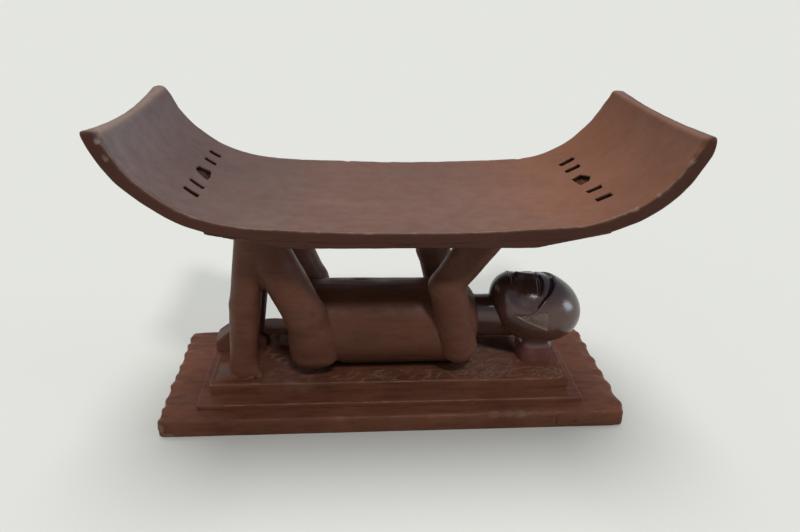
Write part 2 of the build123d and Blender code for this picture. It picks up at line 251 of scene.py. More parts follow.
def run(x, y, z, start, end, start_radius, end_radius):
    """A straight tapered run with round ends."""
    axis = [b - a for a, b in zip(start, end)]
    square = sum(a * a for a in axis)
    t = ((x - start[0]) * axis[0] + (y - start[1]) * axis[1] + (z - start[2]) * axis[2]) / square
    t = np.clip(t, 0, 1)
    gap = np.sqrt(
        (x - start[0] - t * axis[0]) ** 2
        + (y - start[1] - t * axis[1]) ** 2
        + (z - start[2] - t * axis[2]) ** 2
    )
    return gap - (start_radius + t * (end_radius - start_radius))


def limb(x, y, z, stations, soft):
    """A limb through stations (x, y, z, radius), its bends softened."""
    form = None
    for lower, upper in zip(stations, stations[1:]):
        part = run(x, y, z, lower[:3], upper[:3], lower[3], upper[3])
        form = part if form is None else blend_min(form, part, soft)
    return form


def rounded_edge(outline, height, radius):
    """Where two faces meet, with the edge between them rounded."""
    a, b = outline + radius, height + radius
    return (
        np.hypot(np.maximum(a, 0), np.maximum(b, 0)) + np.minimum(np.maximum(a, b), 0) - radius
    )


def block(x, y, z, low, high, corner, top_round, bottom_round=None):
    """An upright block with rounded corners and its own roundings at the top and the foot."""
    half = [(b - a) / 2 for a, b in zip(low, high)]
    middle = [(b + a) / 2 for a, b in zip(low, high)]
    outline = rounded_edge(
        np.abs(x - middle[0]) - half[0], np.abs(y - middle[1]) - half[1], corner
    )
    above = rounded_edge(outline, z - high[2], top_round)
    below = rounded_edge(outline, low[2] - z, bottom_round or top_round)
    return np.maximum(above, below)


def polygon(x, z, corners):
    """Distance to a convex outline."""
    ends = list(zip(corners, corners[1:] + corners[:1]))
    if sum(x0 * z1 - x1 * z0 for (x0, z0), (x1, z1) in ends) < 0:
        return polygon(x, z, corners[::-1])
    form = None
    for (x0, z0), (x1, z1) in ends:
        size = math.hypot(x1 - x0, z1 - z0)
        side = ((x - x0) * (z1 - z0) - (z - z0) * (x1 - x0)) / size
        form = side if form is None else np.maximum(form, side)
    return form


def dent(x, y, z, centre, radii, depth, turn=0.0):
    """How deep one oval chip or gouge cuts at each point."""
    c, s = math.cos(turn), math.sin(turn)
    dx, dy, dz = x - centre[0], y - centre[1], z - centre[2]
    along, across = dx * c + dy * s, dy * c - dx * s
    hollow = 1 - (along / radii[0]) ** 2 - (across / radii[1]) ** 2 - (dz / radii[2]) ** 2
    return depth * np.clip(hollow, 0, 1)


def chipped(x, y, z, chips):
    """How deep a list of chips (centre, radii, depth, turn) cuts at each point."""
    cut = 0
    for centre, radii, depth, turn in chips:
        cut = cut + dent(x, y, z, centre, radii, depth, turn)
    return cut


def bared(x, y, z, chips):
    """Where those chips have bared the wood, from 0 to 1."""
    bare = np.zeros(len(x))
    for centre, radii, depth, turn in chips:
        wide = [radius + 0.8 for radius in radii]
        bare = np.maximum(bare, dent(x, y, z, centre, wide, 1.6, turn))
    return np.clip(bare, 0, 1)


def store(mesh, name, values):
    """Keeps one number for each point of the mesh, for the finish to read."""
    layer = mesh.attributes.new(name, "FLOAT", "POINT")
    layer.data.foreach_set("value", np.asarray(values, np.float32))


def skin(field, lines):
    """The closed surface where a field of distances crosses zero, as points and quads."""
    counts = [len(line) for line in lines]
    cell_count = [n - 1 for n in counts]
    keys, points, quads = [], [], []
    total = 0
    for a in range(3):
        lower = tuple(slice(None, -1) if i == a else slice(1, -1) for i in range(3))
        upper = tuple(slice(1, None) if i == a else slice(1, -1) for i in range(3))
        f0, f1 = field[lower], field[upper]
        crossing = (f0 < 0) != (f1 < 0)
        index = np.argwhere(crossing)
        v0, v1 = f0[crossing], f1[crossing]
        offset = np.array([0 if i == a else 1 for i in range(3)])
        node = index + offset
        point = np.stack([lines[i][node[:, i]] for i in range(3)], 1).astype(float)
        t = v0 / (v0 - v1)
        point[:, a] += t * (lines[a][node[:, a] + 1] - lines[a][node[:, a]])
        b, c = (a + 1) % 3, (a + 2) % 3
        ring = []
        for shift_b, shift_c in ((-1, -1), (0, -1), (0, 0), (-1, 0)):
            cell = node.copy()
            cell[:, b] += shift_b
            cell[:, c] += shift_c
            ring.append(
                (cell[:, 0] * cell_count[1] + cell[:, 1]) * cell_count[2] + cell[:, 2]
            )
            keys.append(ring[-1])
            points.append(point)
        size = len(node)
        quad = np.arange(4)[None, :] * size + np.arange(size)[:, None] + total
        flip = v0 >= 0
        quad[flip] = quad[flip][:, ::-1]
        quads.append(quad)
        total += 4 * size
    names, where = np.unique(np.concatenate(keys), return_inverse=True)
    points = np.concatenate(points)
    count = np.bincount(where)
    corners = np.stack(
        [np.bincount(where, points[:, i]) / count for i in range(3)], 1
    )
    return corners, where[np.concatenate(quads)]


def read_field(field, lines, points):
    """The field's value at any points, by blending the grid's corners."""
    cell, part = [], []
    for a in range(3):
        line = lines[a]
        i = np.clip(np.searchsorted(line, points[:, a], side="right") - 1, 0, len(line) - 2)
        cell.append(i)
        part.append((points[:, a] - line[i]) / (line[i + 1] - line[i]))
    return blend_corners(field, cell, part)


def slope_field(field, lines, points, reach):
    """The direction out of the surface at each point, and how the surface bends there."""
    slope = np.zeros_like(points)
    around = 0
    for a in range(3):
        move = np.zeros(3)
        move[a] = reach
        ahead = read_field(field, lines, points + move)
        behind = read_field(field, lines, points - move)
        slope[:, a] = ahead - behind
        around = around + ahead + behind
    size = np.linalg.norm(slope, axis=1, keepdims=True)
    return slope / np.maximum(size, TINY), around / 6


def settle(field, lines, points, quads, rounds, reach):
    """Evens out the points and puts them back on the surface."""
    ends = np.concatenate([quads[:, [i, (i + 1) % 4]] for i in range(4)])
    count = np.bincount(ends[:, 0], minlength=len(points))
    for _ in range(rounds):
        mean = np.stack(
            [
                np.bincount(ends[:, 0], points[ends[:, 1], i], minlength=len(points)) / count
                for i in range(3)
            ],
            1,
        )
        points = points + 0.5 * (mean - points)
        out, _ = slope_field(field, lines, points, reach)
        height = read_field(field, lines, points)
        points = points - out * np.clip(height, -reach, reach)[:, None]
    return points


CUT_DEPTH_LIMIT = 5.0
RIM_REACH, RIM_FULL = 1.8, 0.45
HOLLOW_REACH, HOLLOW_FULL = 5.0, 0.9


def carve(
    node, finish, low, high, step, form, cut=None, bend=None, bare=None, grime=None,
    rub=None, fine=((), (), ()), fine_step=None,
):
    """Carves one piece and puts it in the place of its CAD node.

    form gives its plain shape in millimetres and cut the surface's detail. step and fine_step are
    multiples of the carving step. bare tells where the wood is rubbed or rough and where light is
    painted behind the right heel, grime where real dirt lies in the seat's cuts and where shade is
    painted on the deck and under the neck, and rub how much the edges are worn.
    """
    grain = bpy.context.scene.stool_sizes.grain_step
    coarser = 1.0
    step_mm = step * grain / MM * coarser
    fine_mm = fine_step * grain / MM * coarser if fine_step else None
    lines = [
        spaced(low[a] - 3 * step_mm, high[a] + 3 * step_mm, step_mm, fine_mm, fine[a])
        for a in range(3)
    ]
    x, y, z = np.meshgrid(*lines, indexing="ij", sparse=True)
    field = np.broadcast_to(form(x, y, z), [len(line) for line in lines]).astype(np.float32)
    if cut:
        near = np.abs(field) < CUT_DEPTH_LIMIT
        i, j, k = np.nonzero(near)
        field[near] += cut(lines[0][i], lines[1][j], lines[2][k]).astype(np.float32)
    points, quads = skin(field, lines)
    points = settle(field, lines, points, quads, rounds=3, reach=0.6 * (fine_mm or step_mm))
    out, close = slope_field(field, lines, points, RIM_REACH)
    _, wide = slope_field(field, lines, points, HOLLOW_REACH)
    none = np.zeros(len(points))
    name = f"{node}_carved"
    mesh = bpy.data.meshes.new(name)
    placed = bend(points) if bend else points
    mesh.from_pydata((placed * MM).tolist(), [], quads.tolist())
    mesh.shade_smooth()
    store(mesh, "rim", np.clip(close / RIM_FULL, 0, 1) * (rub(*points.T) if rub else 1.0))
    store(mesh, "hollow", np.clip(-wide / HOLLOW_FULL, 0, 1))
    # Darkening mask: real dirt in the seat's cuts, and painted shade on the deck and under the
    # neck.
    darkening = grime(*points.T) if grime else none
    store(mesh, "grime", darkening)
    store(mesh, "top", out[:, 2])
    store(mesh, "bare", bare(*points.T) if bare else none)
    mesh.materials.append(finish_of(finish))
    if grime:
        mesh.materials.append(finish_of(finish, dulled=True))
        darkened = (darkening[quads] > 0).any(axis=1)
        mesh.polygons.foreach_set("material_index", darkened.astype(np.int32))
    mesh.update()
    piece = bpy.data.objects.new(name, mesh)
    bpy.context.scene.collection.objects.link(piece)
    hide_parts(node)
    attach(piece, "root")


# ------------------------------------------------------------------ finishes
class Nodes:
    """Builds the nodes of one material or of the world."""

    def __init__(self, owner):
        owner.use_nodes = True
        self.tree = owner.node_tree
        self.tree.nodes.clear()

    def add(self, kind, **values):
        node = self.tree.nodes.new(kind)
        for key, value in values.items():
            setattr(node, key, value)
        return node

    def link(self, source, target):
        self.tree.links.new(source, target)

    def noise(self, vector, scale, detail=3.0, roughness=0.55, distortion=0.0):
        node = self.add("ShaderNodeTexNoise")
        node.inputs["Scale"].default_value = scale
        node.inputs["Detail"].default_value = detail
        node.inputs["Roughness"].default_value = roughness
        node.inputs["Distortion"].default_value = distortion
        self.link(vector, node.inputs["Vector"])
        return node.outputs["Fac"]

    def stretch(self, vector, scale, turn=(0.0, 0.0, 0.0)):
        node = self.add("ShaderNodeMapping")
        node.inputs["Scale"].default_value = scale
        node.inputs["Rotation"].default_value = turn
        self.link(vector, node.inputs["Vector"])
        return node.outputs["Vector"]

    def span(self, value, low, high, to_low=0.0, to_high=1.0):
        node = self.add("ShaderNodeMapRange", interpolation_type="SMOOTHSTEP")
        node.inputs["From Min"].default_value = low
        node.inputs["From Max"].default_value = high
        node.inputs["To Min"].default_value = to_low
        node.inputs["To Max"].default_value = to_high
        self.link(value, node.inputs["Value"])
        return node.outputs["Result"]

    def math(self, kind, a, b):
        node = self.add("ShaderNodeMath", operation=kind)
        for socket, value in zip(node.inputs, (a, b)):
            if isinstance(value, (int, float)):
                socket.default_value = value
            else:
                self.link(value, socket)
        return node.outputs[0]

    def mix(self, factor, a, b, kind="MIX"):
        node = self.add("ShaderNodeMix", data_type="RGBA", blend_type=kind)
        for socket, value in ((node.inputs[0], factor), (node.inputs[6], a), (node.inputs[7], b)):
            if isinstance(value, (int, float)):
                socket.default_value = value
            elif isinstance(value, (tuple, list)):
                socket.default_value = (*value[:3], 1.0)
            else:
                self.link(value, socket)
        return node.outputs[2]

    def attribute(self, name):
        node = self.add("ShaderNodeAttribute", attribute_name=name)
        return node.outputs["Fac"]

    def show(self, seen, lighting, output):
        """Shows one shader to the eye and in reflections; the other one lights the stool."""
        path = self.add("ShaderNodeLightPath").outputs
        eye = self.math("MAXIMUM", path["Is Camera Ray"], path["Is Glossy Ray"])
        eye = self.math("MAXIMUM", eye, path["Is Transmission Ray"])
        both = self.add("ShaderNodeMixShader")
        self.link(eye, both.inputs[0])
        self.link(lighting.outputs[0], both.inputs[1])
        self.link(seen.outputs[0], both.inputs[2])
        self.link(both.outputs[0], self.add(output).inputs["Surface"])


def shade(rgb, amount):
    """A colour made lighter or darker."""
    return tuple(min(1.0, channel * amount) for channel in rgb)


FULL_STAIN = 1.4
BUMP_HEIGHT = 0.0007


def varnished_wood(
    name, stain, worn_and_lit, crevice_and_shade, gloss, specular, wear, streak, relief, side=None, ends=None,
    blotch=1.0, darkening=0.85, dulled=False,
):
    """Stained and varnished wood: streaks along the grain, rubbed edges, darker hollows.

    dulled wood loses its gloss under grime: in the seat's dirty cuts, and where shade is painted
    on the deck and under the neck.
    """
    material = bpy.data.materials.new(name)
    n = Nodes(material)
    place_at = n.add("ShaderNodeTexCoord").outputs["Object"]
    along = n.stretch(place_at, (1.0, 7.0, 7.0))
    streaks = n.noise(along, 26.0, 5.0, 0.62, 0.35)
    hairs = n.noise(n.stretch(place_at, (1.0, 22.0, 22.0)), 70.0, 3.0, 0.6)
    clouds = n.noise(place_at, 9.0, 4.0, 0.55, 0.6)
    mottle = n.noise(place_at, 55.0, 4.0, 0.6)
    specks = n.noise(place_at, 420.0, 2.0, 0.5)

    tone = shade(stain, FULL_STAIN)
    if ends:
        tip_reflection, left, right = (shade(end, FULL_STAIN) for end in ends)
        split = n.add("ShaderNodeSeparateXYZ")
        n.link(place_at, split.inputs[0])
        across = split.outputs["X"]
        # Painted reflection: the stain turns grey towards the left end and bluish grey at its tip,
        # a painted cool sheen.
        tone = n.mix(n.span(across, -0.26, -0.02), left, tone)
        tone = n.mix(n.span(across, -0.30, -0.24), tip_reflection, tone)
        tone = n.mix(n.span(across, 0.04, 0.20), tone, right)
    # Painted shade: faces that do not look upwards take the darker side colour.
    if side:
        tone = n.mix(n.span(n.attribute("top"), 0.25, 0.85), shade(side, FULL_STAIN), tone)
    tint = n.mix(
        n.span(clouds, 0.36, 0.66), ((1 - 0.16 * blotch) / FULL_STAIN,) * 3,
        ((1 + 0.14 * blotch) / FULL_STAIN,) * 3,
    )
    tint = n.mix(
        n.span(mottle, 0.40, 0.66, 0.0, 0.55 * blotch), tint, (1.0, 0.84, 0.76), "MULTIPLY"
    )
    patches = n.noise(place_at, 17.0, 3.0)
    tint = n.mix(
        n.span(patches, 0.48, 0.70, 0.0, 0.6 * blotch), tint, (0.82, 0.92, 1.0), "MULTIPLY"
    )
    tint = n.mix(
        n.span(streaks, 0.44, 0.70, 0.0, 0.60 * streak), tint, (0.50, 0.47, 0.45), "MULTIPLY"
    )
    tint = n.mix(n.span(hairs, 0.52, 0.74, 0.0, 0.30 * streak), tint, (1.35 / FULL_STAIN,) * 3)
    body = n.mix(1.0, tint, tone, "MULTIPLY")

    hollow = n.attribute("hollow")
    rubbed_and_lit = n.math("MULTIPLY", n.span(n.attribute("rim"), 0.30, 0.95), n.span(mottle, 0.42, 0.60))
    rubbed_and_lit = n.math("MULTIPLY", rubbed_and_lit, wear)
    bare = n.math("MULTIPLY", n.attribute("bare"), n.span(mottle, 0.30, 0.55, 0.55, 1.0))
    rubbed_and_lit = n.math("MAXIMUM", rubbed_and_lit, bare)
    # Pale at rubbed edges and bared chips, and painted light behind the right heel.
    body = n.mix(rubbed_and_lit, body, worn_and_lit)
    # Darker in the hollows.
    body = n.mix(n.span(hollow, 0.10, 0.85, 0.0, darkening), body, crevice_and_shade)
    # Painted shade on the deck under the neck and the trunk and on the neck's underside; in the
    # seat's cuts it is real dirt.
    grime = n.math("MULTIPLY", n.attribute("grime"), n.span(mottle, 0.25, 0.6, 1.0, 0.82))
    body = n.mix(grime, body, crevice_and_shade)
    body = n.mix(n.span(specks, 0.70, 0.78, 0.0, 0.35), body, shade(stain, 0.45))

    rough = n.span(mottle, 0.3, 0.7, gloss - 0.07, gloss + 0.10)
    rough = n.math("ADD", rough, n.span(hollow, 0.1, 0.9, 0.0, 0.30))
    rough = n.math("ADD", rough, n.span(specks, 0.5, 0.7, 0.0, 0.05))
    rough = n.math("ADD", rough, n.math("MULTIPLY", n.attribute("grime"), 0.35))
    rough = n.math("ADD", rough, n.math("MULTIPLY", n.attribute("bare"), 0.12))

    height = n.math("ADD", n.math("MULTIPLY", streaks, 0.55), n.math("MULTIPLY", hairs, 0.30))
    height = n.math("ADD", height, n.math("MULTIPLY", mottle, 0.75))
    height = n.math("ADD", height, n.math("MULTIPLY", specks, 0.10))
    bump = n.add("ShaderNodeBump")
    bump.inputs["Strength"].default_value = 0.55 * relief
    bump.inputs["Distance"].default_value = BUMP_HEIGHT
    n.link(height, bump.inputs["Height"])

    shader = n.add("ShaderNodeBsdfPrincipled")
    shader.inputs["Specular IOR Level"].default_value = specular
    if dulled:
        clean = n.math("SUBTRACT", 1.0, n.attribute("grime"))
        n.link(n.math("MULTIPLY", clean, specular), shader.inputs["Specular IOR Level"])
    n.link(body, shader.inputs["Base Color"])
    n.link(rough, shader.inputs["Roughness"])
    n.link(bump.outputs["Normal"], shader.inputs["Normal"])
    n.link(shader.outputs["BSDF"], n.add("ShaderNodeOutputMaterial").inputs["Surface"])
    return material


def finish_of(kind, dulled=False):
    """The shared finish of that kind, made when it is first asked for."""
    name = f"dulled_{kind}" if dulled else f"varnished_{kind}"
    if name in bpy.data.materials:
        return bpy.data.materials[name]
    colours = bpy.context.scene.stool_colours
    stain = tuple(getattr(colours, kind))
    settings = {
        "seat": dict(
            worn_and_lit=tuple(colours.seat_worn), side=tuple(colours.seat_shaded_side),
            ends=[tuple(c) for c in (colours.seat_tip_reflection, colours.seat_left_sheen, colours.seat_right)],
            gloss=0.42, specular=0.12, wear=0.40, streak=0.25, relief=0.35, blotch=0.45,
        ),
        "base": dict(gloss=0.36, specular=0.10, wear=0.85, streak=0.9, relief=0.9, darkening=0.45),
        "figure": dict(gloss=0.44, specular=0.13, wear=0.25, streak=0.6, relief=0.40),
        "head": dict(gloss=0.19, specular=0.60, wear=0.20, streak=0.4, relief=0.30),
        "rest": dict(gloss=0.24, specular=0.40, wear=0.30, streak=0.5, relief=0.45),
    }
    usual = dict(worn_and_lit=tuple(colours.worn_and_lit), crevice_and_shade=tuple(colours.crevice_and_shade))
    return varnished_wood(name, stain, dulled=dulled, **(usual | settings[kind]))


# ------------------------------------------------------------------ the base
SLAB = ((-286.0, -98.0), (286.0, 99.5))
MIDDLE = ((-244.0, -79.0), (234.0, 79.0))
TOP = ((-231.0, -58.0), (221.0, 58.0))
LET_IN = 3.0
SLAB_CHIPS = (
    ((-284, -98, 13), (5, 4, 8), 1.8, 0.0),
    ((-276, -98, 2), (9, 4, 4), 1.6, 0.0),
    ((-262, -52, 24), (5, 4, 1.8), 1.0, 0.0),
    ((-265, 46, 24), (4, 4, 1.8), 1.0, 0.0),
    ((-254, -54, 24), (3, 3, 1.8), 1.0, 0.0),
    ((118, -96, 21), (9, 6, 4), 1.2, 0.0),
    ((137, -96, 22), (7, 6, 4), 1.0, 0.0),
    ((152, -96, 21), (9, 6, 4), 1.2, 0.0),
    ((-198, -98, 4), (5, 3, 3), 1.4, 0.0),
    ((221, -98, 9), (4, 3, 3), 1.2, 0.0),
    ((40, -98, 22), (5, 3, 3), 1.0, 0.0),
    ((-70, -98, 22), (6, 3, 3), 0.9, 0.0),
)
SLAB_CRACKS = (
    ((196.5, -98, 12), (1.2, 5, 12), 1.8, 0.0),
    ((193, -92, 23), (1.7, 9, 4), 1.0, 0.5),
    ((250.8, -98, 20), (2.0, 2.5, 2.0), 2.5, 0.0),
)
MIDDLE_CUTS = (
    ((-96, -59.0, 31), (40, 1.6, 2.4), 2.0, 0.0),
    ((-110, -66, 31), (11, 2.2, 1.2), 0.7, 0.1),
    ((236, -62, 31), (6, 1.8, 1.6), 1.0, 0.2),
    ((228, -67, 31), (6, 1.8, 1.6), 1.0, -0.3),
    ((214, -71, 31), (6, 1.8, 1.6), 1.0, 0.5),
)
DECK_MARKS = (
    # seed, how many, from (x, y), to (x, y), length
    (33, 130, (62, -57), (219, -6), 7.0),
    (38, 70, (100, -57), (219, -38), 6.0),
    (34, 60, (60, 8), (219, 57), 8.0),
    (35, 70, (-182, -56), (-84, 56), 7.0),
    (36, 60, (-80, -57), (56, -34), 8.0),
)


def tier(x, y, z, outline, low, high, corner, top_round, bottom_round):
    """One tier of the base, from its outline's two corners and its heights."""
    (x0, y0), (x1, y1) = outline
    return block(x, y, z, (x0, y0, low), (x1, y1, high), corner, top_round, bottom_round)


def adze_bites(y, period, offset):
    """The row of bites along an end of the slab, 0 at the ridges and 1 in the middle of a bite."""
    t = (y + offset) / period
    t = t + 0.12 * np.sin(2.1 * t) + 0.07 * np.sin(5.3 * t + 1.0)
    side = 2 * (t - np.floor(t)) - 1
    return 1 - side * side


def slab_form(x, y, z):
    soft = 4.0 + 4.0 * step_up(x, 20, 130)
    form = tier(x, y, z, SLAB, 0.0, mm("slab_height"), 7.0, soft, 1.5)
    left = (2.5 * adze_bites(y, 23.0, 5.0) - 1.5) * step_up(-x, 266, 280)
    right = (3.2 * adze_bites(y, 31.0, 12.0) - 1.5) * step_up(x, 266, 280)
    return form + left + right


def slab_cut(x, y, z):
    bites = Scoops(12)
    side = step_up(np.abs(y), 86, 96) + step_up(np.abs(x), 270, 282)
    cut = 0.5 * Noise(11)(x, y, z, (60, 30, 12))
    cut += 0.75 * side * (bites(x, y, z, (26, 20, 16)) - 0.6)
    cut += 0.4 * (bites(x + 7, y, z, (17, 11, 30)) - 0.6)
    cut += 0.25 * Noise(13)(x, y, z, (9, 7, 7))
    cut += chipped(x, y, z, SLAB_CHIPS + SLAB_CRACKS)
    return cut * step_up(z, 0.5, 4.0)


def slab_bare(x, y, z):
    return np.maximum(0.20 * bared(x, y, z, SLAB_CHIPS), bared(x, y, z, SLAB_CHIPS[:2]))


def stand_on_floor(points):
    """Cuts off what would lie below the floor."""
    return np.maximum(points, (-np.inf, -np.inf, 0.0))


def middle_form(x, y, z):
    form = tier(x, y, z, MIDDLE, mm("slab_height") - LET_IN, mm("middle_height"), 2.0, 1.5, 0.5)
    return form + 0.7 * step_up(np.abs(y), 70, 78) * np.sin(x / 31.0 + 1.0) * np.sin(x / 17.0)


def middle_cut(x, y, z):
    cut = 0.4 * Noise(21)(x, y, z, (70, 16, 14)) + 0.25 * Noise(23)(x, y, z, (8, 6, 6))
    cut += 0.6 * (Scoops(22)(x, y, z, (34, 10, 30)) - 0.6)
    return cut + chipped(x, y, z, MIDDLE_CUTS)


def tier_rub(x, y, z):
    """Hands and heels wear the long edges of a tier, hardly its ends."""
    return 1 - 0.85 * step_up(77 - np.abs(y), 0, 6) * step_up(np.abs(x), 214, 222)


def top_rub(x, y, z):
    """The same wear on the narrower top tier."""
    return tier_rub(x, y * 1.36, z)


def top_form(x, y, z):
    form = tier(x, y, z, TOP, mm("middle_height") - LET_IN, mm("deck_height"), 2.5, 1.8, 0.5)
    return form + 0.7 * step_up(np.abs(y), 50, 57) * np.sin(x / 37.0) * np.sin(x / 19.0 + 1.0)


def deck_marks():
    """Short crossing scratches and gouge marks scattered over the deck."""
    marks = []
    for seed, count, low, high, size in DECK_MARKS:
        rng = np.random.default_rng(seed)
        for _ in range(count):
            at = (rng.uniform(low[0], high[0]), rng.uniform(low[1], high[1]), mm("deck_height"))
            radii = (size * rng.uniform(0.5, 1.4), rng.uniform(0.7, 1.6), 2.5)
            marks.append((at, radii, rng.uniform(0.3, 0.7), rng.normal(0.45, 0.6)))
    return marks


def top_cut(x, y, z):
    bites = Scoops(32)
    deck = step_up(z, mm("deck_height") - 4, mm("deck_height") - 1)
    cut = 0.4 * Noise(31)(x, y, z, (60, 22, 16)) + 0.2 * Noise(37)(x, y, z, (7, 5, 5))
    cut += 0.9 * deck * (bites(x, y, z, (26, 12, 40)) - 0.6)
    cut += 0.6 * (1 - deck) * (bites(x, y, z, (38, 30, 11)) - 0.6)
    for mark in deck_marks():
        (cx, cy, _), (long, wide, _), _, _ = mark
        near = (np.abs(x - cx) < long) & (np.abs(y - cy) < max(long, wide))
        cut[near] += chipped(x[near], y[near], z[near], (mark,))
    return cut


def top_bare(x, y, z):
    chosen = [(c, (a, 0.6 * b, h), d, turn) for c, (a, b, h), d, turn in deck_marks()[::2]]
    beside_foot = between(x, -172, -96, 12, 20) * step_up(-20 - y, 0, 12)
    rough = step_up(Noise(39)(x, y, z, (9, 5, 9)), -0.7, 0.8)
    return np.maximum(0.8 * bared(x, y, z, chosen), 0.40 * rough * beside_foot)


def top_painted_shadow(x, y, z):
    """Painted shadow on the deck: under the neck and the head, and under the trunk along its
    length.
    """
    neck = between(x, 80, 172, 14, 12) * step_up(y - 28 + 0.5 * (x - 105), -5, 5)
    neck = neck * step_up(53 - y, 0, 16) * step_up(z, 43, 45)
    trunk = step_up(26 - np.abs(y), 0, 9) * between(x, -112, 104, 12, 8)
    return 0.9 * np.maximum(neck, trunk)


class STOOL_OT_carve_base(bpy.types.Operator):
    """Carves the three tiers of the base"""

    bl_idname = "stool.carve_base"
    bl_label = "Carve base"

    def execute(self, context):
        finish = "base"
        slab_top, middle_top = mm("slab_height"), mm("middle_height")
        carve(
            "base_slab", finish, (*SLAB[0], 0.0), (*SLAB[1], slab_top), 3.2,
            slab_form, slab_cut, bend=stand_on_floor, bare=slab_bare,
            fine=(((-290, -258), (100, 290)), ((-102, -76), (84, 102)), ((-5, 30),)),
            fine_step=1.15,
        )
        carve(
            "base_middle_step", finish, (*MIDDLE[0], slab_top - LET_IN),
            (*MIDDLE[1], middle_top), 2.4, middle_form, middle_cut, rub=tier_rub,
            fine=(((-247, -238), (200, 240)), ((-83, -55), (72, 83)), ((18, 34),)),
            fine_step=1.0,
        )
        carve(
            "base_top_step", finish, (*TOP[0], middle_top - LET_IN),
            (*TOP[1], mm("deck_height")), 1.7, top_form, top_cut, bare=top_bare,
            grime=top_painted_shadow, rub=top_rub,
            fine=(((50, 225),), ((-62, -2),), ((25, 50),)), fine_step=1.0,
        )
        return {"FINISHED"}


# ------------------------------------------------------------------ the seat
ARCS = ((2100.0, 4.5), (157.0, 40.0), (100.0, 79.0))
PAD_UNDER = 257.0
DISH_HALF = 114.0
ROW_AT = 2100.0 * math.radians(4.5) + 157.0 * math.radians(26.0 - 4.5)
LEFT_CUTS = (
    ((-234.2, -56.4), (-233.2, -48.4), (-216.2, -52.8), (-217.2, -63.5)),
    ((-234, -28.7), (-232.2, -20.9), (-215.2, -27.3), (-217.2, -36)),
    ((-234.8, 11.6), (-232.6, 21.8), (-219.1, 23.3), (-216.6, 6.9), (-218, -5.5), (-231.4, 4.2)),
    ((-233.2, 46.9), (-232, 55.2), (-217.6, 52.4), (-218.5, 43.6)),
    ((-233.2, 72.1), (-232, 81.6), (-217.8, 80.2), (-218.6, 70.7)),
)
RIGHT_CUTS = (
    ((210.6, 70.9), (229.7, 73.6), (230.4, 65.1), (212.6, 63.3)),
    ((211.5, 48.1), (229.6, 49.6), (228.9, 41.1), (212.2, 40.8)),
    ((210.8, 18.6), (221.6, 21.4), (229.2, 5.6), (224.3, -3.8), (213.8, -6.1)),
    ((212.1, -26), (230.3, -25.6), (229.9, -35.2), (213.7, -35.3)),
    ((213.3, -53.4), (230.4, -54.7), (231.2, -64.3), (214.2, -64.7)),
)
SEAT_CHIPS = (
    ((-157, -117, 0), (4, 3, 2.4), 1.8, 0.0),
    ((-150, -117, 0), (3, 3, 2.4), 1.5, 0.0),
    ((233, -117, 0), (3.4, 3, 2.4), 2.0, 0.0),
    ((310, -117, 0), (3.4, 3, 2.4), 2.2, 0.0),
    ((54, -117, 0), (2.6, 3, 2.2), 1.0, 0.0),
    ((73, -117, 0), (6, 3, 2.0), 0.8, 0.0),
    ((181, -117, 0), (3, 3, 2.2), 1.0, 0.0),
    ((-40, -117, -12), (2.2, 3, 2.2), 1.2, 0.0),
    ((5, -117, -14), (2.2, 3, 2.2), 1.2, 0.0),
    ((-102, -117, -14), (2.4, 3, 2.2), 1.4, 0.0),
    ((170, 117, 0), (5, 3, 2.2), 1.2, 0.0),
    ((-60, 117, 0), (4, 3, 2.2), 1.0, 0.0),
    ((-329, -40, -5), (6, 1.2, 6), 1.6, 0.5),
)
SEAT_FLAKES = (
    ((-304, -117.5, -5), (2.4, 2, 1.6), 0.5, 0.0),
    ((-321, -117.5, -3), (2.6, 3, 2.0), 0.5, 0.0),
    ((-325, -112, -1), (3.0, 3, 2.0), 0.5, 0.0),
    ((-318, -40, -1), (1.2, 1.2, 3), 0.3, 0.0),
    ((304, -116.5, -1), (2.6, 2, 1.8), 0.5, 0.0),
    ((262, -117, -0.5), (1.6, 2, 1.5), 0.4, 0.0),
    ((236, -117, -0.5), (3.0, 2, 1.5), 0.5, 0.0),
)


def seat_length():
    """Half the length of the seat's upper face, measured along its curve."""
    total, start = 0.0, 0.0
    for radius, angle in ARCS:
        total += radius * math.radians(angle - start)
        start = angle
    return total


SEAT_HALF = seat_length()


def seat_curve(along):
    """x, z and slope of the seat's upper face at a distance along it from the middle."""
    side = np.sign(along)
    left = np.abs(along)
    x, z, slope = np.zeros_like(left), np.full_like(left, mm("seat_height")), np.zeros_like(left)
    start = 0.0
    for radius, angle in ARCS:
        a0, a1 = math.radians(start), math.radians(angle)
        last = radius * (a1 - a0)
        share = np.clip(left, 0, None if angle == ARCS[-1][1] else last) / radius
        here = a0 + share
        x = x + radius * (np.sin(here) - math.sin(a0))
        z = z + radius * (math.cos(a0) - np.cos(here))
        slope = slope + share
        left = np.clip(left - last, 0, None)
        start = angle
    return side * x, z, side * slope


def hand_curve(value, at, to):
    """A table read as a smooth curve."""
    return sum(np.interp(value + shift, at, to) for shift in (-14, -7, 0, 7, 14)) / 5


def seat_lift(along, y):
    """How far the hand-carved seat stands inwards of its plain curve."""
    left = hand_curve(
        -along, [150, 185, 205, 230, 255, 280, 305, 330], [0, 2, 2, 3, 5.2, 5.2, 6, 5]
    )
    front = hand_curve(
        along, [145, 172, 187, 218, 240, 262, 273, 288, 303, 315, 325],
        [0, -0.2, -0.4, 0.7, -0.1, 0.3, 0.4, 1.8, 2.0, 1.5, -0.4],
    )
    back = hand_curve(
        along, [160, 200, 229, 244, 262, 280, 301, 326], [0, 0.2, 1.9, 2.6, 5.5, 6.4, 6.8, 5]
    )
    share = np.clip((y + 117.5) / 235.0, 0, 1)
    middle = 1.8 * share * np.clip((200 - np.abs(along)) / 130, 0, 1)
    near = -1.2 * (1 - share) * np.clip((np.abs(along) - 150) / 60, 0, 1)
    return left + front + share * (back - front) + middle + near


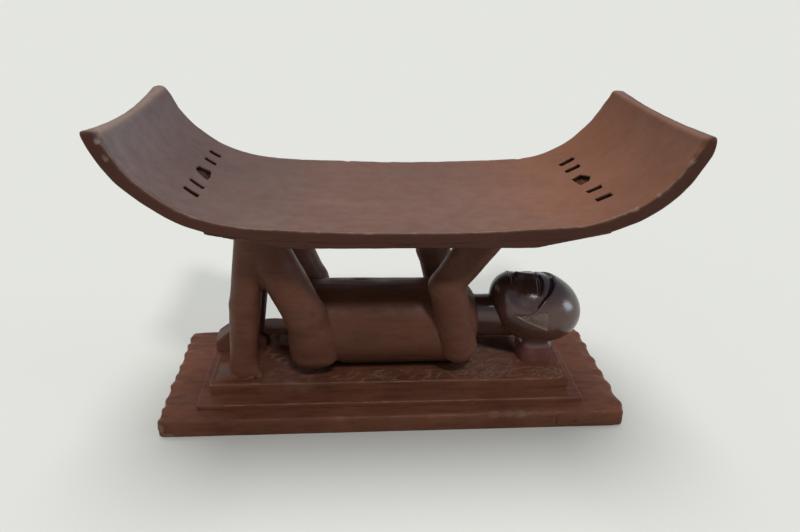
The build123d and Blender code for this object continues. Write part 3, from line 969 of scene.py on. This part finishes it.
def seat_swell(along):
    """How much thicker the seat is towards its ends."""
    left = hand_curve(-along, [200, 270, 300, 320], [0, 1, 2.5, 4.2])
    return left + hand_curve(
        along, [150, 205, 230, 244, 275, 298, 312], [0, 2.6, 3.3, 4.3, 4.4, 4.8, 3.5]
    )


def bend_seat(points):
    """Bends points of the flat seat, (along, y, height), onto the seat's curve."""
    along, y, height = points.T
    x, z, slope = seat_curve(along)
    height = height * (1 + seat_swell(along) / mm("seat_thickness")) + seat_lift(along, y)
    bent = np.stack([x - height * np.sin(slope), y, z + height * np.cos(slope)], 1)
    low, high = (np.array(corner) / MM for corner in (CAD_LOW, CAD_HIGH))
    return np.clip(bent, low + 0.1, high - 0.1)


def seat_end(s, y):
    """Where the seat ends along its curve: the ends sag a little between their corners."""
    sag = hump(y, 117.0)
    left = 1.0 - 0.01 * y - 7.0 * sag
    right = 2.0 - 3.5 * sag
    return SEAT_HALF + np.where(s < 0, left, right)


def seat_form(s, y, h):
    corner = 5.0 + step_up(y, 20, 80) * np.where(s < 0, 5.5, 3.0)
    outline = rounded_edge(
        np.abs(s) - seat_end(s, y), np.abs(y) - mm("seat_depth") / 2, corner
    )
    deep = mm("seat_dish") + 3.0 * step_up(-s, 240, 325) + 1.0 * step_up(s, 240, 325)
    dish = deep * hump(y, DISH_HALF)
    end = step_up(np.abs(s), SEAT_HALF - 20, SEAT_HALF - 8)
    above = rounded_edge(outline, h + dish, 1.4 + 5.2 * end)
    under_round = 2.5 + 2.4 * end * step_up(y, -100, -50)
    below = rounded_edge(outline, -h - mm("seat_thickness"), under_round)
    return np.maximum(above, below)


def seat_with_cuts(s, y, h):
    shape = np.broadcast_shapes(s.shape, y.shape, h.shape)
    form = np.broadcast_to(seat_form(s, y, h), shape).copy()
    rough = Scoops(44)
    floor = -mm("cut_depth") - 4.0
    for end, cuts in ((-1, LEFT_CUTS), (1, RIGHT_CUTS)):
        near = np.nonzero(np.abs(s[:, 0, 0] - end * ROW_AT) < 18)[0]
        part = slice(near[0], near[-1] + 1)
        bed = floor + 2.4 * rough(s[part], y, h * 0, (5.0, 5.0, 5.0))
        for corners in cuts:
            wall = polygon(s[part], y, list(corners))
            form[part] = np.maximum(form[part], -np.maximum(wall, bed - h))
    return form


def seat_cut(s, y, h):
    bites = Scoops(42)
    under = 1 - step_up(h, -9, -5)
    side = step_up(np.abs(y), 112, 116)
    cut = 0.30 * Noise(41)(s, y, h, (70, 45, 30)) + 0.1
    cut += 0.5 * side * (bites(s, y, h, (26, 12, 9)) - 0.3)
    cut += 0.22 * side * Noise(45)(s, y, h, (6, 5, 4))
    cut += 0.35 * under * bites(s, y, h, (40, 18, 40))
    return cut + chipped(s, y, h, SEAT_CHIPS)


def seat_bare(s, y, h):
    end_at = seat_end(s, y)
    reach = np.where(s < 0, 12.0, 6.0)
    ends = step_up(np.abs(s), end_at - reach, end_at - 2.5) * np.where(s < 0, 0.72, 0.30)
    ends = ends * step_up(y, -117, -108)
    front = step_up(-y, 115.0, 116.6) * step_up(h, -2.8, -1.5) * 0.70
    flakes = step_up(Noise(48)(s, y, h, (9, 4, 4)) + Noise(49)(s, y, h, 2.6), 0.1, 0.8)
    front = front * (0.35 + 0.65 * flakes)
    return np.maximum(np.maximum(ends, front), bared(s, y, h, SEAT_FLAKES))


def seat_grime(s, y, h):
    """The cuts are dark inside."""
    row = step_up(16 - np.abs(np.abs(s) - ROW_AT), 0, 3) * step_up(92 - np.abs(y), 0, 4)
    surface = -mm("seat_dish") * hump(y, DISH_HALF)
    return 0.80 * row * step_up(surface - h, 0.9, 2.6) * step_up(h, -13.0, -12.0)


def seat_curve_at(x):
    """Height and slope of the seat's upper face above a level position x."""
    along = np.linspace(-SEAT_HALF, SEAT_HALF, 2001)
    curve_x, curve_z, slope = seat_curve(along)
    flat = np.asarray(x, float).ravel()
    return (
        np.interp(flat, curve_x, curve_z).reshape(x.shape),
        np.interp(flat, curve_x, slope).reshape(x.shape),
    )


def pad_form(x, y, z):
    low = PAD_UNDER - 1.3
    under = polygon(
        x, z, [(-202, 272), (-124, low), (136, low), (213, 272), (213, 320), (-202, 320)]
    )
    top, slope = seat_curve_at(x)
    form = np.maximum(under, (z - top) * np.cos(slope) + 12.0)
    return rounded_edge(np.abs(y) - 116.0, form, 1.2)


def pad_cut(x, y, z):
    return 0.3 * Noise(46)(x, y, z, (60, 30, 20)) + 0.3 * (Scoops(47)(x, y, z, (30, 14, 30)) - 0.6)


class STOOL_OT_carve_seat(bpy.types.Operator):
    """Carves the curved seat with its cuts, and the pad under it"""

    bl_idname = "stool.carve_seat"
    bl_label = "Carve seat"

    def execute(self, context):
        finish = "seat"
        half, row = SEAT_HALF, ROW_AT
        carve(
            "seat", finish, (-half, -117.5, -14.0), (half, 117.5, 0.0), 2.6,
            seat_with_cuts, seat_cut, bend=bend_seat, bare=seat_bare, grime=seat_grime,
            fine=(
                ((-half - 3, -half + 14), (-row - 13, -row + 9), (row - 15, row + 9),
                 (half - 12, half + 3)),
                ((-121, -108), (-80, 86), (110, 121)),
                ((-20, 5),),
            ),
            fine_step=1.03,
        )
        carve(
            "seat_underplate", finish, (-208.0, -116.0, PAD_UNDER),
            (208.0, 116.0, 278.0), 2.4, pad_form, pad_cut,
            fine=((), ((-120, -110), (110, 120)), ((250, 285),)), fine_step=1.2,
        )
        return {"FINISHED"}


# ------------------------------------------------------------------ trunk and neck
NECK_Z = 112.5


def trunk_form(x, y, z):
    outline = np.hypot(y, z - mm("trunk_height") - 0.8) - mm("trunk_radius")
    form = rounded_edge(outline, x - 104.0, 36.0)
    form = np.maximum(form, rounded_edge(outline, -x - 128.0, 30.0))
    deck = mm("deck_height")
    bed = block(x, y, z, (-70.0, -17.0, deck), (74.0, 17.0, deck + 24), 2.0, 2.0)
    return blend_min(form, bed, 4.0)


def trunk_cut(x, y, z):
    top = step_up(z, 120, 150)
    cut = 0.5 * Noise(61)(x, y, z, (60, 26, 26)) - 0.3
    cut += 0.5 * (Scoops(62)(x, y, z, (46, 16, 16)) - 0.6)
    cut += 0.35 * top * Noise(63)(x, y, z, (40, 3.5, 9))
    cut += dent(x, y, z, (-42, 12, 153), (16, 1.2, 4), 1.6, 0.05)
    return cut + dent(x, y, z, (-8, 20, 151), (30, 1.0, 4), 0.8, -0.03)


def neck_form(x, y, z):
    form = np.hypot(y, 0.93 * (z - NECK_Z)) - 21.2 - 0.0035 * (x - 112.0) ** 2
    form = np.maximum(form, np.abs(x - 118.0) - 26.0)
    under = np.maximum(np.hypot(y, z - 91.5) - 14.5, np.abs(x - 126.0) - 34.0)
    return blend_min(form, under, 12.0)


def neck_painted_shade(x, y, z):
    # Painted shade: darker towards the underside of the neck.
    return 0.75 * step_up(93 - z, 0, 12)


def neck_cut(x, y, z):
    return 0.5 * Noise(66)(x, y, z, (18, 14, 14)) + 0.4 * (Scoops(67)(x, y, z, (24, 12, 12)) - 0.6)


class STOOL_OT_carve_trunk(bpy.types.Operator):
    """Carves the figure's trunk and neck"""

    bl_idname = "stool.carve_trunk"
    bl_label = "Carve trunk and neck"

    def execute(self, context):
        carve(
            "torso", "figure", (-128.0, -52.5, 46.0),
            (104.0, 52.5, 154.5), 1.3, trunk_form, trunk_cut,
        )
        carve(
            "neck", "head", (92.0, -25.0, 73.0), (161.0, 25.0, 139.0),
            1.0, neck_form, neck_cut, grime=neck_painted_shade,
        )
        return {"FINISHED"}


# ------------------------------------------------------------------ the head
HEAD = (180.0, 0.0, 118.0)
EYE_AT = 15.5


def head_axes(x, z):
    """Crown-wards and face-wards distances from the head's centre."""
    tilt = bpy.context.scene.stool_sizes.head_tilt
    c, s = math.cos(tilt), math.sin(tilt)
    dx, dz = x - HEAD[0], z - HEAD[2]
    return dx * c - dz * s, dx * s + dz * c


def brow_line(v):
    """Where the forehead ends above the face, towards the crown."""
    return 6.2 - 0.0055 * v**2 - 3.6e-6 * v**4


def skull_form(u, v, w):
    return egg(u - 0.4, v, w - 1.9, (62.0, 45.5, 46.6))


def head_form(x, y, z):
    u, w = head_axes(x, z)
    v = y
    skull = skull_form(u, v, w)
    chin = ball(u, v, w, (-41.8, 0.0, 13.8), 22.0)
    form = blend_min(skull, chin, 9.0)

    face = step_up(brow_line(v) - u, -0.8, 1.4) * step_up(w, 6, 22) * step_up(u, -52, -30)
    form = form + 2.6 * face

    top = run(u, v, w, (-15.0, 0.0, 41.0), (-40.0, 0.0, 34.0), 3.2, 6.6)
    nose = np.maximum(top, w - 47.5 - 0.28 * (u + 18.0))
    nose = np.maximum(nose, -u - 44.5 + 0.35 * np.abs(v))
    form = blend_min(form, nose, 3.0)

    lips = egg(u + 49.5, v, w - 30.0, (5.2, 14.0, 5.6))
    form = blend_min(form, lips, 2.0)
    return form


def head_cut(x, y, z):
    u, w = head_axes(x, z)
    v = np.abs(y)
    face = step_up(w, 8, 16)
    cut = 0.25 * Noise(71)(x, y, z, 26.0) + 0.25 * (Scoops(72)(x, y, z, 17.0) - 0.6)

    brow = 6.8 * hump(v, 42.5) ** 0.55
    inner = brow_line(v) - brow
    middle = (brow_line(v) + inner) / 2
    across = hump(u - middle, np.maximum(brow / 2, 0.3))
    cut += 3.4 * face * across * step_up(v, 1.5, 5.0) * step_up(41.5 - v, 0, 6)

    eye = 4.3 * hump(v - EYE_AT, EYE_AT) ** 0.6
    lens = hump(u + 14.0, np.maximum(eye, 0.3))
    cut += 2.6 * face * lens * step_up(eye, 0.4, 1.6)
    lid = hump(u + 15.2 - 0.10 * (v - EYE_AT), 1.1)
    cut -= 1.9 * face * lid * step_up(eye, 0.8, 2.4)

    for mouth_line in (-52.0, -47.4):
        line = hump(u - mouth_line, 1.15)
        cut += 2.4 * line * step_up(w, 18, 24) * step_up(15.5 - v, 0, 4)
    return cut


def above_lip(u, w):
    """Height above the raised lip along the ear's lower edge."""
    return w + 1.8 + 0.09 * (u + 36)


def ear_form_of(side):
    def form(x, y, z):
        u, w = head_axes(x, z)
        v = y * side
        outline = polygon(u, w, [(-38.0, -2.0), (8.0, -6.2), (1.0, 16.5), (-6.0, 15.5)])
        lip = np.exp(-(((above_lip(u, w) - 1.6) / 2.3) ** 2))
        shell = skull_form(u, v, w) - 1.3 - 3.4 * lip
        return np.maximum(np.maximum(outline, shell), 33.0 - v)
    return form


def ear_cut(x, y, z):
    """The hatching inside the ear."""
    u, w = head_axes(x, z)
    inside = step_up(above_lip(u, w), 4.0, 6.0)
    hatch = np.sin(u * 1.35 + w * 0.9 + 0.8 * np.sin(w)) * np.sin(w * 1.5 - u * 0.35)
    return 0.55 * inside * hatch + 0.25 * Noise(75)(x, y, z, 4.5)


def ear_bare(x, y, z):
    u, w = head_axes(x, z)
    height = above_lip(u, w)
    hatched = 0.45 * step_up(height, 5.0, 8.0) * step_up(u, -24, -12)
    return np.maximum(np.exp(-(((height - 1.2) / 2.2) ** 2)), hatched)


def rest_form(x, y, z):
    deck = mm("deck_height")
    return block(x, y, z, (165.0, -24.5, deck - 2), (207.0, 24.0, 83.0), 12.0, 15.0, 2.5)


def rest_cut(x, y, z):
    return 0.4 * Noise(78)(x, y, z, 14.0) + 0.5 * (Scoops(79)(x, y, z, (14, 12, 12)) - 0.6)


class STOOL_OT_carve_head(bpy.types.Operator):
    """Carves the head with its face, the two ears and the block under the head"""

    bl_idname = "stool.carve_head"
    bl_label = "Carve head"

    def execute(self, context):
        finish = "head"
        carve(
            "head", finish, (116.0, -46.0, 68.0), (242.0, 46.0, 176.0), 0.72,
            head_form, head_cut,
        )
        for name, side in SIDES:
            y_low, y_high = y_range(side, 31.0, 49.0)
            carve(
                f"{name}_ear", finish, (141.0, y_low, 106.0), (192.0, y_high, 136.0),
                0.45, ear_form_of(side), ear_cut, bare=ear_bare,
            )
        carve(
            "head_rest", "rest", (164.0, -25.0, 44.0), (208.0, 25.0, 84.0),
            0.8, rest_form, rest_cut,
        )
        return {"FINISHED"}


# ------------------------------------------------------------------ legs and arms
LEG_SPLIT_X = -157.5
ELBOW_SPLIT = (133.0, 0.30)
CREASE = 0.06
OVERLAP = 5.0
INTO_PAD = 2.0


def leg_form_of(side):
    """Both halves of one leg as one soft form."""
    deck = mm("deck_height")
    hip = (-102.6, side * 29.0, deck + 44.0, 28.3)
    above_hip = (-103.8, side * 37.0, deck + 62.0, 28.0)
    middle = (-111.5, side * 45.0, deck + 91.0, 25.0)
    y_low, y_high = y_range(side, 12.0, 56.5)
    heavy_end = ((-130.8, y_low, deck + 18.0), (-72.5, y_high, deck + 66.0))
    knee = (-161.0, side * 56.0, PAD_UNDER, 22.5)
    calf_top = (-163.0, side * 56.0, PAD_UNDER, 18.5)
    calf = (-180.0, side * 48.0, deck + 108.0, 18.0)
    ankle = (-190.8, side * (37.0 if side < 0 else 32.0), deck + 12.0, 16.4)

    def leg(x, y, z):
        thigh = limb(x, y, z, [hip, above_hip, middle, knee], 4.0)
        thigh = blend_min(thigh, block(x, y, z, *heavy_end, 20.0, 24.0, 12.0), 12.0)
        shin = limb(x, y, z, [ankle, calf, calf_top], 2.5)
        if side < 0:
            heel = run(x, y, z, (-187, -38, deck + 28), (-172, -44, deck + 2), 11.5, 5.0)
            shin = blend_min(shin, heel, 9.0)
        return np.maximum(blend_min(thigh, shin, 8.0), z - PAD_UNDER - INTO_PAD)

    return leg


def thigh_form_of(side):
    leg = leg_form_of(side)
    return lambda x, y, z: np.maximum(leg(x, y, z), LEG_SPLIT_X - x)


def shin_form_of(side):
    leg = leg_form_of(side)
    return lambda x, y, z: np.maximum(leg(x, y, z) + CREASE, x - LEG_SPLIT_X - OVERLAP)


def limb_cut_of(seed):
    """The adze's and the knife's marks along a limb."""
    def cut(x, y, z):
        return (
            0.5 * Noise(seed)(x, y, z, (18, 18, 34))
            + 0.55 * (Scoops(seed + 1)(x, y, z, (17, 17, 40)) - 0.6)
        )
    return cut


def foot_form_of(side):
    """A wedge of a foot; behind the right heel some of the block's wood was left standing."""
    far = 5.0 if side > 0 else 0.0

    def form(x, y, z):
        deck = mm("deck_height")
        outline = polygon(
            x, z,
            [(-169, deck - 2), (-169, deck + 15), (-197, deck + 37), (-201 - far, deck + 36.5),
             (-230 - far, deck + 14), (-230 - far, deck - 2)]
            if side > 0 else
            [(-177, deck - 2), (-177, deck + 6), (-192, deck + 14), (-205, deck + 8.5),
             (-227, deck + 4.5), (-230, deck + 3), (-230, deck - 2)],
        )
        across = np.abs(y - side * 32.0) - 17.0 + 0.04 * np.abs(x + 230)
        foot = rounded_edge(across - (4.0 if side < 0 else 0.0), outline, 3.0)
        if side < 0:
            return foot
        heel = block(x, y, z, (-176.0, 26.0, deck - 2), (-137.0, 57.0, deck + 25.5), 4.0, 3.0, 1.0)
        return np.minimum(foot, heel)
    return form


def heel_painted_light(x, y, z):
    """Painted light: the wood left standing behind the right heel is made pale, as if lit, in a
    rough blotchy pattern.
    """
    rough = step_up(Noise(88)(x, y, z, 5.0), -0.6, 0.5)
    return 0.95 * rough * step_up(x, -170, -160) * step_up(33 - y, 0, 4) * step_up(66 - z, 0, 3)


def arm_form_of(side):
    """Both halves of one arm as one soft form."""
    deck = mm("deck_height")
    back = 4.5 if side > 0 else 0.0
    shoulder = (77.0, side * 40.5, deck + 42.0)
    elbow = (56.0 - back, side * 53.0, deck + 132.0)
    low = (53.5 - back, side * 53.0, deck + 132.0)
    hand = (104.0, side * 55.0, PAD_UNDER)

    def arm(x, y, z):
        upper = run(x, y, z, shoulder, elbow, 23.3, 21.5)
        fore = run(x, y, z, low, hand, 19.5, 23.0)
        facet = 0.82 * (y * side - 53.0) - 0.42 * (x - 78.0) + 0.25 * (z - 222.0) - 15.0
        fore = blend_max(fore, facet, 3.0)
        return np.maximum(blend_min(upper, fore, 5.0), z - PAD_UNDER - INTO_PAD)

    return arm


def elbow_split(x, z):
    """The level of the elbow's crease: positive above it."""
    return z - mm("deck_height") - ELBOW_SPLIT[0] - ELBOW_SPLIT[1] * (x - 56.0)


def upper_arm_form_of(side):
    arm = arm_form_of(side)
    return lambda x, y, z: np.maximum(arm(x, y, z) + CREASE, elbow_split(x, z) - OVERLAP)


def forearm_form_of(side):
    arm = arm_form_of(side)
    return lambda x, y, z: np.maximum(arm(x, y, z), -elbow_split(x, z))


class STOOL_OT_carve_legs(bpy.types.Operator):
    """Carves both thighs, shins and feet"""

    bl_idname = "stool.carve_legs"
    bl_label = "Carve legs"

    def execute(self, context):
        finish = "figure"
        for i, (name, side) in enumerate(SIDES):
            y_low, y_high = y_range(side, -8.0, 82.0)
            carve(
                f"{name}_thigh", finish, (-166.0, y_low, 44.0),
                (-68.0, y_high, 260.0), 1.0, thigh_form_of(side), limb_cut_of(80),
            )
            y_low, y_high = y_range(side, 12.0, 82.0)
            carve(
                f"{name}_shin", finish, (-210.0, y_low, 42.0),
                (-148.0, y_high, 260.0), 1.0, shin_form_of(side), limb_cut_of(80),
            )
            y_low, y_high = y_range(side, 11.0, 58.0)
            carve(
                f"{name}_foot", finish, (-236.0, y_low, 43.0),
                (-135.0, y_high, 86.0), 0.8, foot_form_of(side), limb_cut_of(84 + 2 * i),
                bare=heel_painted_light,
            )
        return {"FINISHED"}


class STOOL_OT_carve_arms(bpy.types.Operator):
    """Carves both upper arms and forearms"""

    bl_idname = "stool.carve_arms"
    bl_label = "Carve arms"

    def execute(self, context):
        finish = "figure"
        for i, (name, side) in enumerate(SIDES):
            cut = limb_cut_of(90 + 4 * i)
            y_low, y_high = y_range(side, 16.0, 77.0)
            carve(
                f"{name}_upper_arm", finish, (32.0, y_low, 62.0),
                (102.0, y_high, 190.0), 1.0, upper_arm_form_of(side), cut,
            )
            y_low, y_high = y_range(side, 30.0, 79.0)
            carve(
                f"{name}_forearm", finish, (30.0, y_low, 168.0),
                (130.0, y_high, 260.0), 1.0, forearm_form_of(side), cut,
            )
        return {"FINISHED"}


# ------------------------------------------------------------------ stage
FLOOR_REACH = 30.0
FLOOR_SEEN, FLOOR_LIGHTING = 0.83, 0.40
LIGHTS = (
    # name, strength, softness in degrees, (bearing, height) in degrees, colour
    ("top_light", 2.15, 32.0, (180.0, 79.0), (1.0, 1.0, 1.0)),
    ("key_light", 1.08, 8.0, (12.0, 55.0), (1.0, 0.98, 0.95)),
    ("side_light", 0.62, 21.0, (79.0, 7.0), (0.74, 0.85, 1.0)),
)
SENSOR, LENS = 36.0, 28.28
CAMERA_AT = (-0.0558, -0.6942, 0.5268)
CAMERA_DOWN, CAMERA_TURN, CAMERA_ROLL = 26.58, -4.93, 1.84


def sun(name, strength, angle, turn, rgb):
    """A distant lamp whose light comes from direction turn (bearing, height) in degrees."""
    lamp = bpy.data.lights.new(name, "SUN")
    lamp.energy = strength
    lamp.angle = math.radians(angle)
    lamp.color = rgb
    holder = bpy.data.objects.new(name, lamp)
    bearing, height = (math.radians(a) for a in turn)
    back = Vector(
        (math.sin(bearing) * math.cos(height), -math.cos(bearing) * math.cos(height),
         math.sin(height))
    )
    holder.rotation_mode = "QUATERNION"
    holder.rotation_quaternion = (-back).to_track_quat("-Z", "Y")
    bpy.context.scene.collection.objects.link(holder)


class STOOL_OT_set_stage(bpy.types.Operator):
    """Sets the floor, the lights and the camera"""

    bl_idname = "stool.set_stage"
    bl_label = "Set stage"

    def execute(self, context):
        self.set_floor(context.scene)
        self.set_world(context.scene)
        for light in LIGHTS:
            sun(*light)
        self.set_camera(context.scene)
        context.scene.view_settings.view_transform = "Standard"
        return {"FINISHED"}

    def set_floor(self, scene):
        """A pale floor that throws less light back at the stool than it shows."""
        pale = tuple(scene.stool_colours.floor)
        size = FLOOR_REACH
        mesh = bpy.data.meshes.new("floor")
        mesh.from_pydata(
            [(-size, -size, 0), (size, -size, 0), (size, size, 0), (-size, size, 0)], [],
            [(0, 1, 2, 3)],
        )
        floor = bpy.data.objects.new("floor", mesh)
        scene.collection.objects.link(floor)
        material = bpy.data.materials.new("pale_floor")
        n = Nodes(material)
        shown, dim = n.add("ShaderNodeBsdfDiffuse"), n.add("ShaderNodeBsdfDiffuse")
        shown.inputs["Color"].default_value = (*shade(pale, FLOOR_SEEN), 1.0)
        dim.inputs["Color"].default_value = (*shade(pale, FLOOR_LIGHTING), 1.0)
        n.show(shown, dim, "ShaderNodeOutputMaterial")
        mesh.materials.append(material)

    def set_camera(self, scene):
        lens = bpy.data.cameras.new("camera")
        lens.sensor_width = SENSOR
        lens.lens = LENS
        camera = bpy.data.objects.new("camera", lens)
        camera.location = CAMERA_AT
        camera.rotation_mode = "QUATERNION"
        tilt, turn, roll = (
            math.radians(angle) for angle in (90.0 - CAMERA_DOWN, CAMERA_TURN, CAMERA_ROLL)
        )
        aim = Euler((tilt, 0.0, turn)).to_quaternion()
        camera.rotation_quaternion = aim @ Euler((0.0, 0.0, roll)).to_quaternion()
        scene.collection.objects.link(camera)
        scene.camera = camera

    def set_world(self, scene):
        """A room that is dim in front and overhead and pale behind and to the left."""
        world = bpy.data.worlds.new("studio")
        n = Nodes(world)
        split = n.add("ShaderNodeSeparateXYZ")
        n.link(n.add("ShaderNodeTexCoord").outputs["Generated"], split.inputs[0])
        behind = n.span(split.outputs["Y"], -0.3, 0.6, 0.0, 0.40)
        left = n.span(n.math("MULTIPLY", split.outputs["X"], -1.0), -0.2, 0.8, 0.0, 0.36)
        low = n.span(n.math("MULTIPLY", split.outputs["Z"], -1.0), -0.85, -0.45)
        level = n.math("ADD", n.math("MULTIPLY", n.math("MAXIMUM", behind, left), low), 0.16)
        high = n.span(split.outputs["Z"], 0.20, 0.45)
        sweep = n.span(high, 0.0, 1.0, 1.0, 0.50)

        room, pale = n.add("ShaderNodeBackground"), n.add("ShaderNodeBackground")
        room.inputs["Color"].default_value = (0.96, 0.98, 1.0, 1.0)
        n.link(n.mix(high, (0.75, 0.77, 0.78), (0.64, 0.76, 1.0)), pale.inputs["Color"])
        n.link(level, room.inputs["Strength"])
        n.link(sweep, pale.inputs["Strength"])
        n.show(pale, room, "ShaderNodeOutputWorld")
        scene.world = world


# ------------------------------------------------------------------ panel and run
class STOOL_PT_panel(bpy.types.Panel):
    """Lists the stool's sizes, colours and pieces"""

    bl_idname = "STOOL_PT_panel"
    bl_label = "Stool"
    bl_space_type = "VIEW_3D"
    bl_region_type = "UI"
    bl_category = "Stool"

    def draw(self, context):
        layout = self.layout
        for group in (context.scene.stool_sizes, context.scene.stool_colours):
            column = layout.column(align=True)
            for name in group.__annotations__:
                column.prop(group, name)
        for operator in OPERATORS:
            layout.operator(operator.bl_idname)


OPERATORS = (
    STOOL_OT_set_stage,
    STOOL_OT_carve_base,
    STOOL_OT_carve_seat,
    STOOL_OT_carve_trunk,
    STOOL_OT_carve_head,
    STOOL_OT_carve_legs,
    STOOL_OT_carve_arms,
)
CLASSES = (StoolSizes, StoolColours, *OPERATORS, STOOL_PT_panel)


def register():
    for kind in CLASSES:
        bpy.utils.register_class(kind)
    bpy.types.Scene.stool_sizes = bpy.props.PointerProperty(type=StoolSizes)
    bpy.types.Scene.stool_colours = bpy.props.PointerProperty(type=StoolColours)


def unregister():
    del bpy.types.Scene.stool_colours
    del bpy.types.Scene.stool_sizes
    for kind in reversed(CLASSES):
        bpy.utils.unregister_class(kind)


def main():
    """Builds the stool and its stage."""
    register()
    bpy.ops.stool.set_stage()
    bpy.ops.stool.carve_base()
    bpy.ops.stool.carve_seat()
    bpy.ops.stool.carve_trunk()
    bpy.ops.stool.carve_head()
    bpy.ops.stool.carve_legs()
    bpy.ops.stool.carve_arms()


if __name__ == "__main__":
    main()
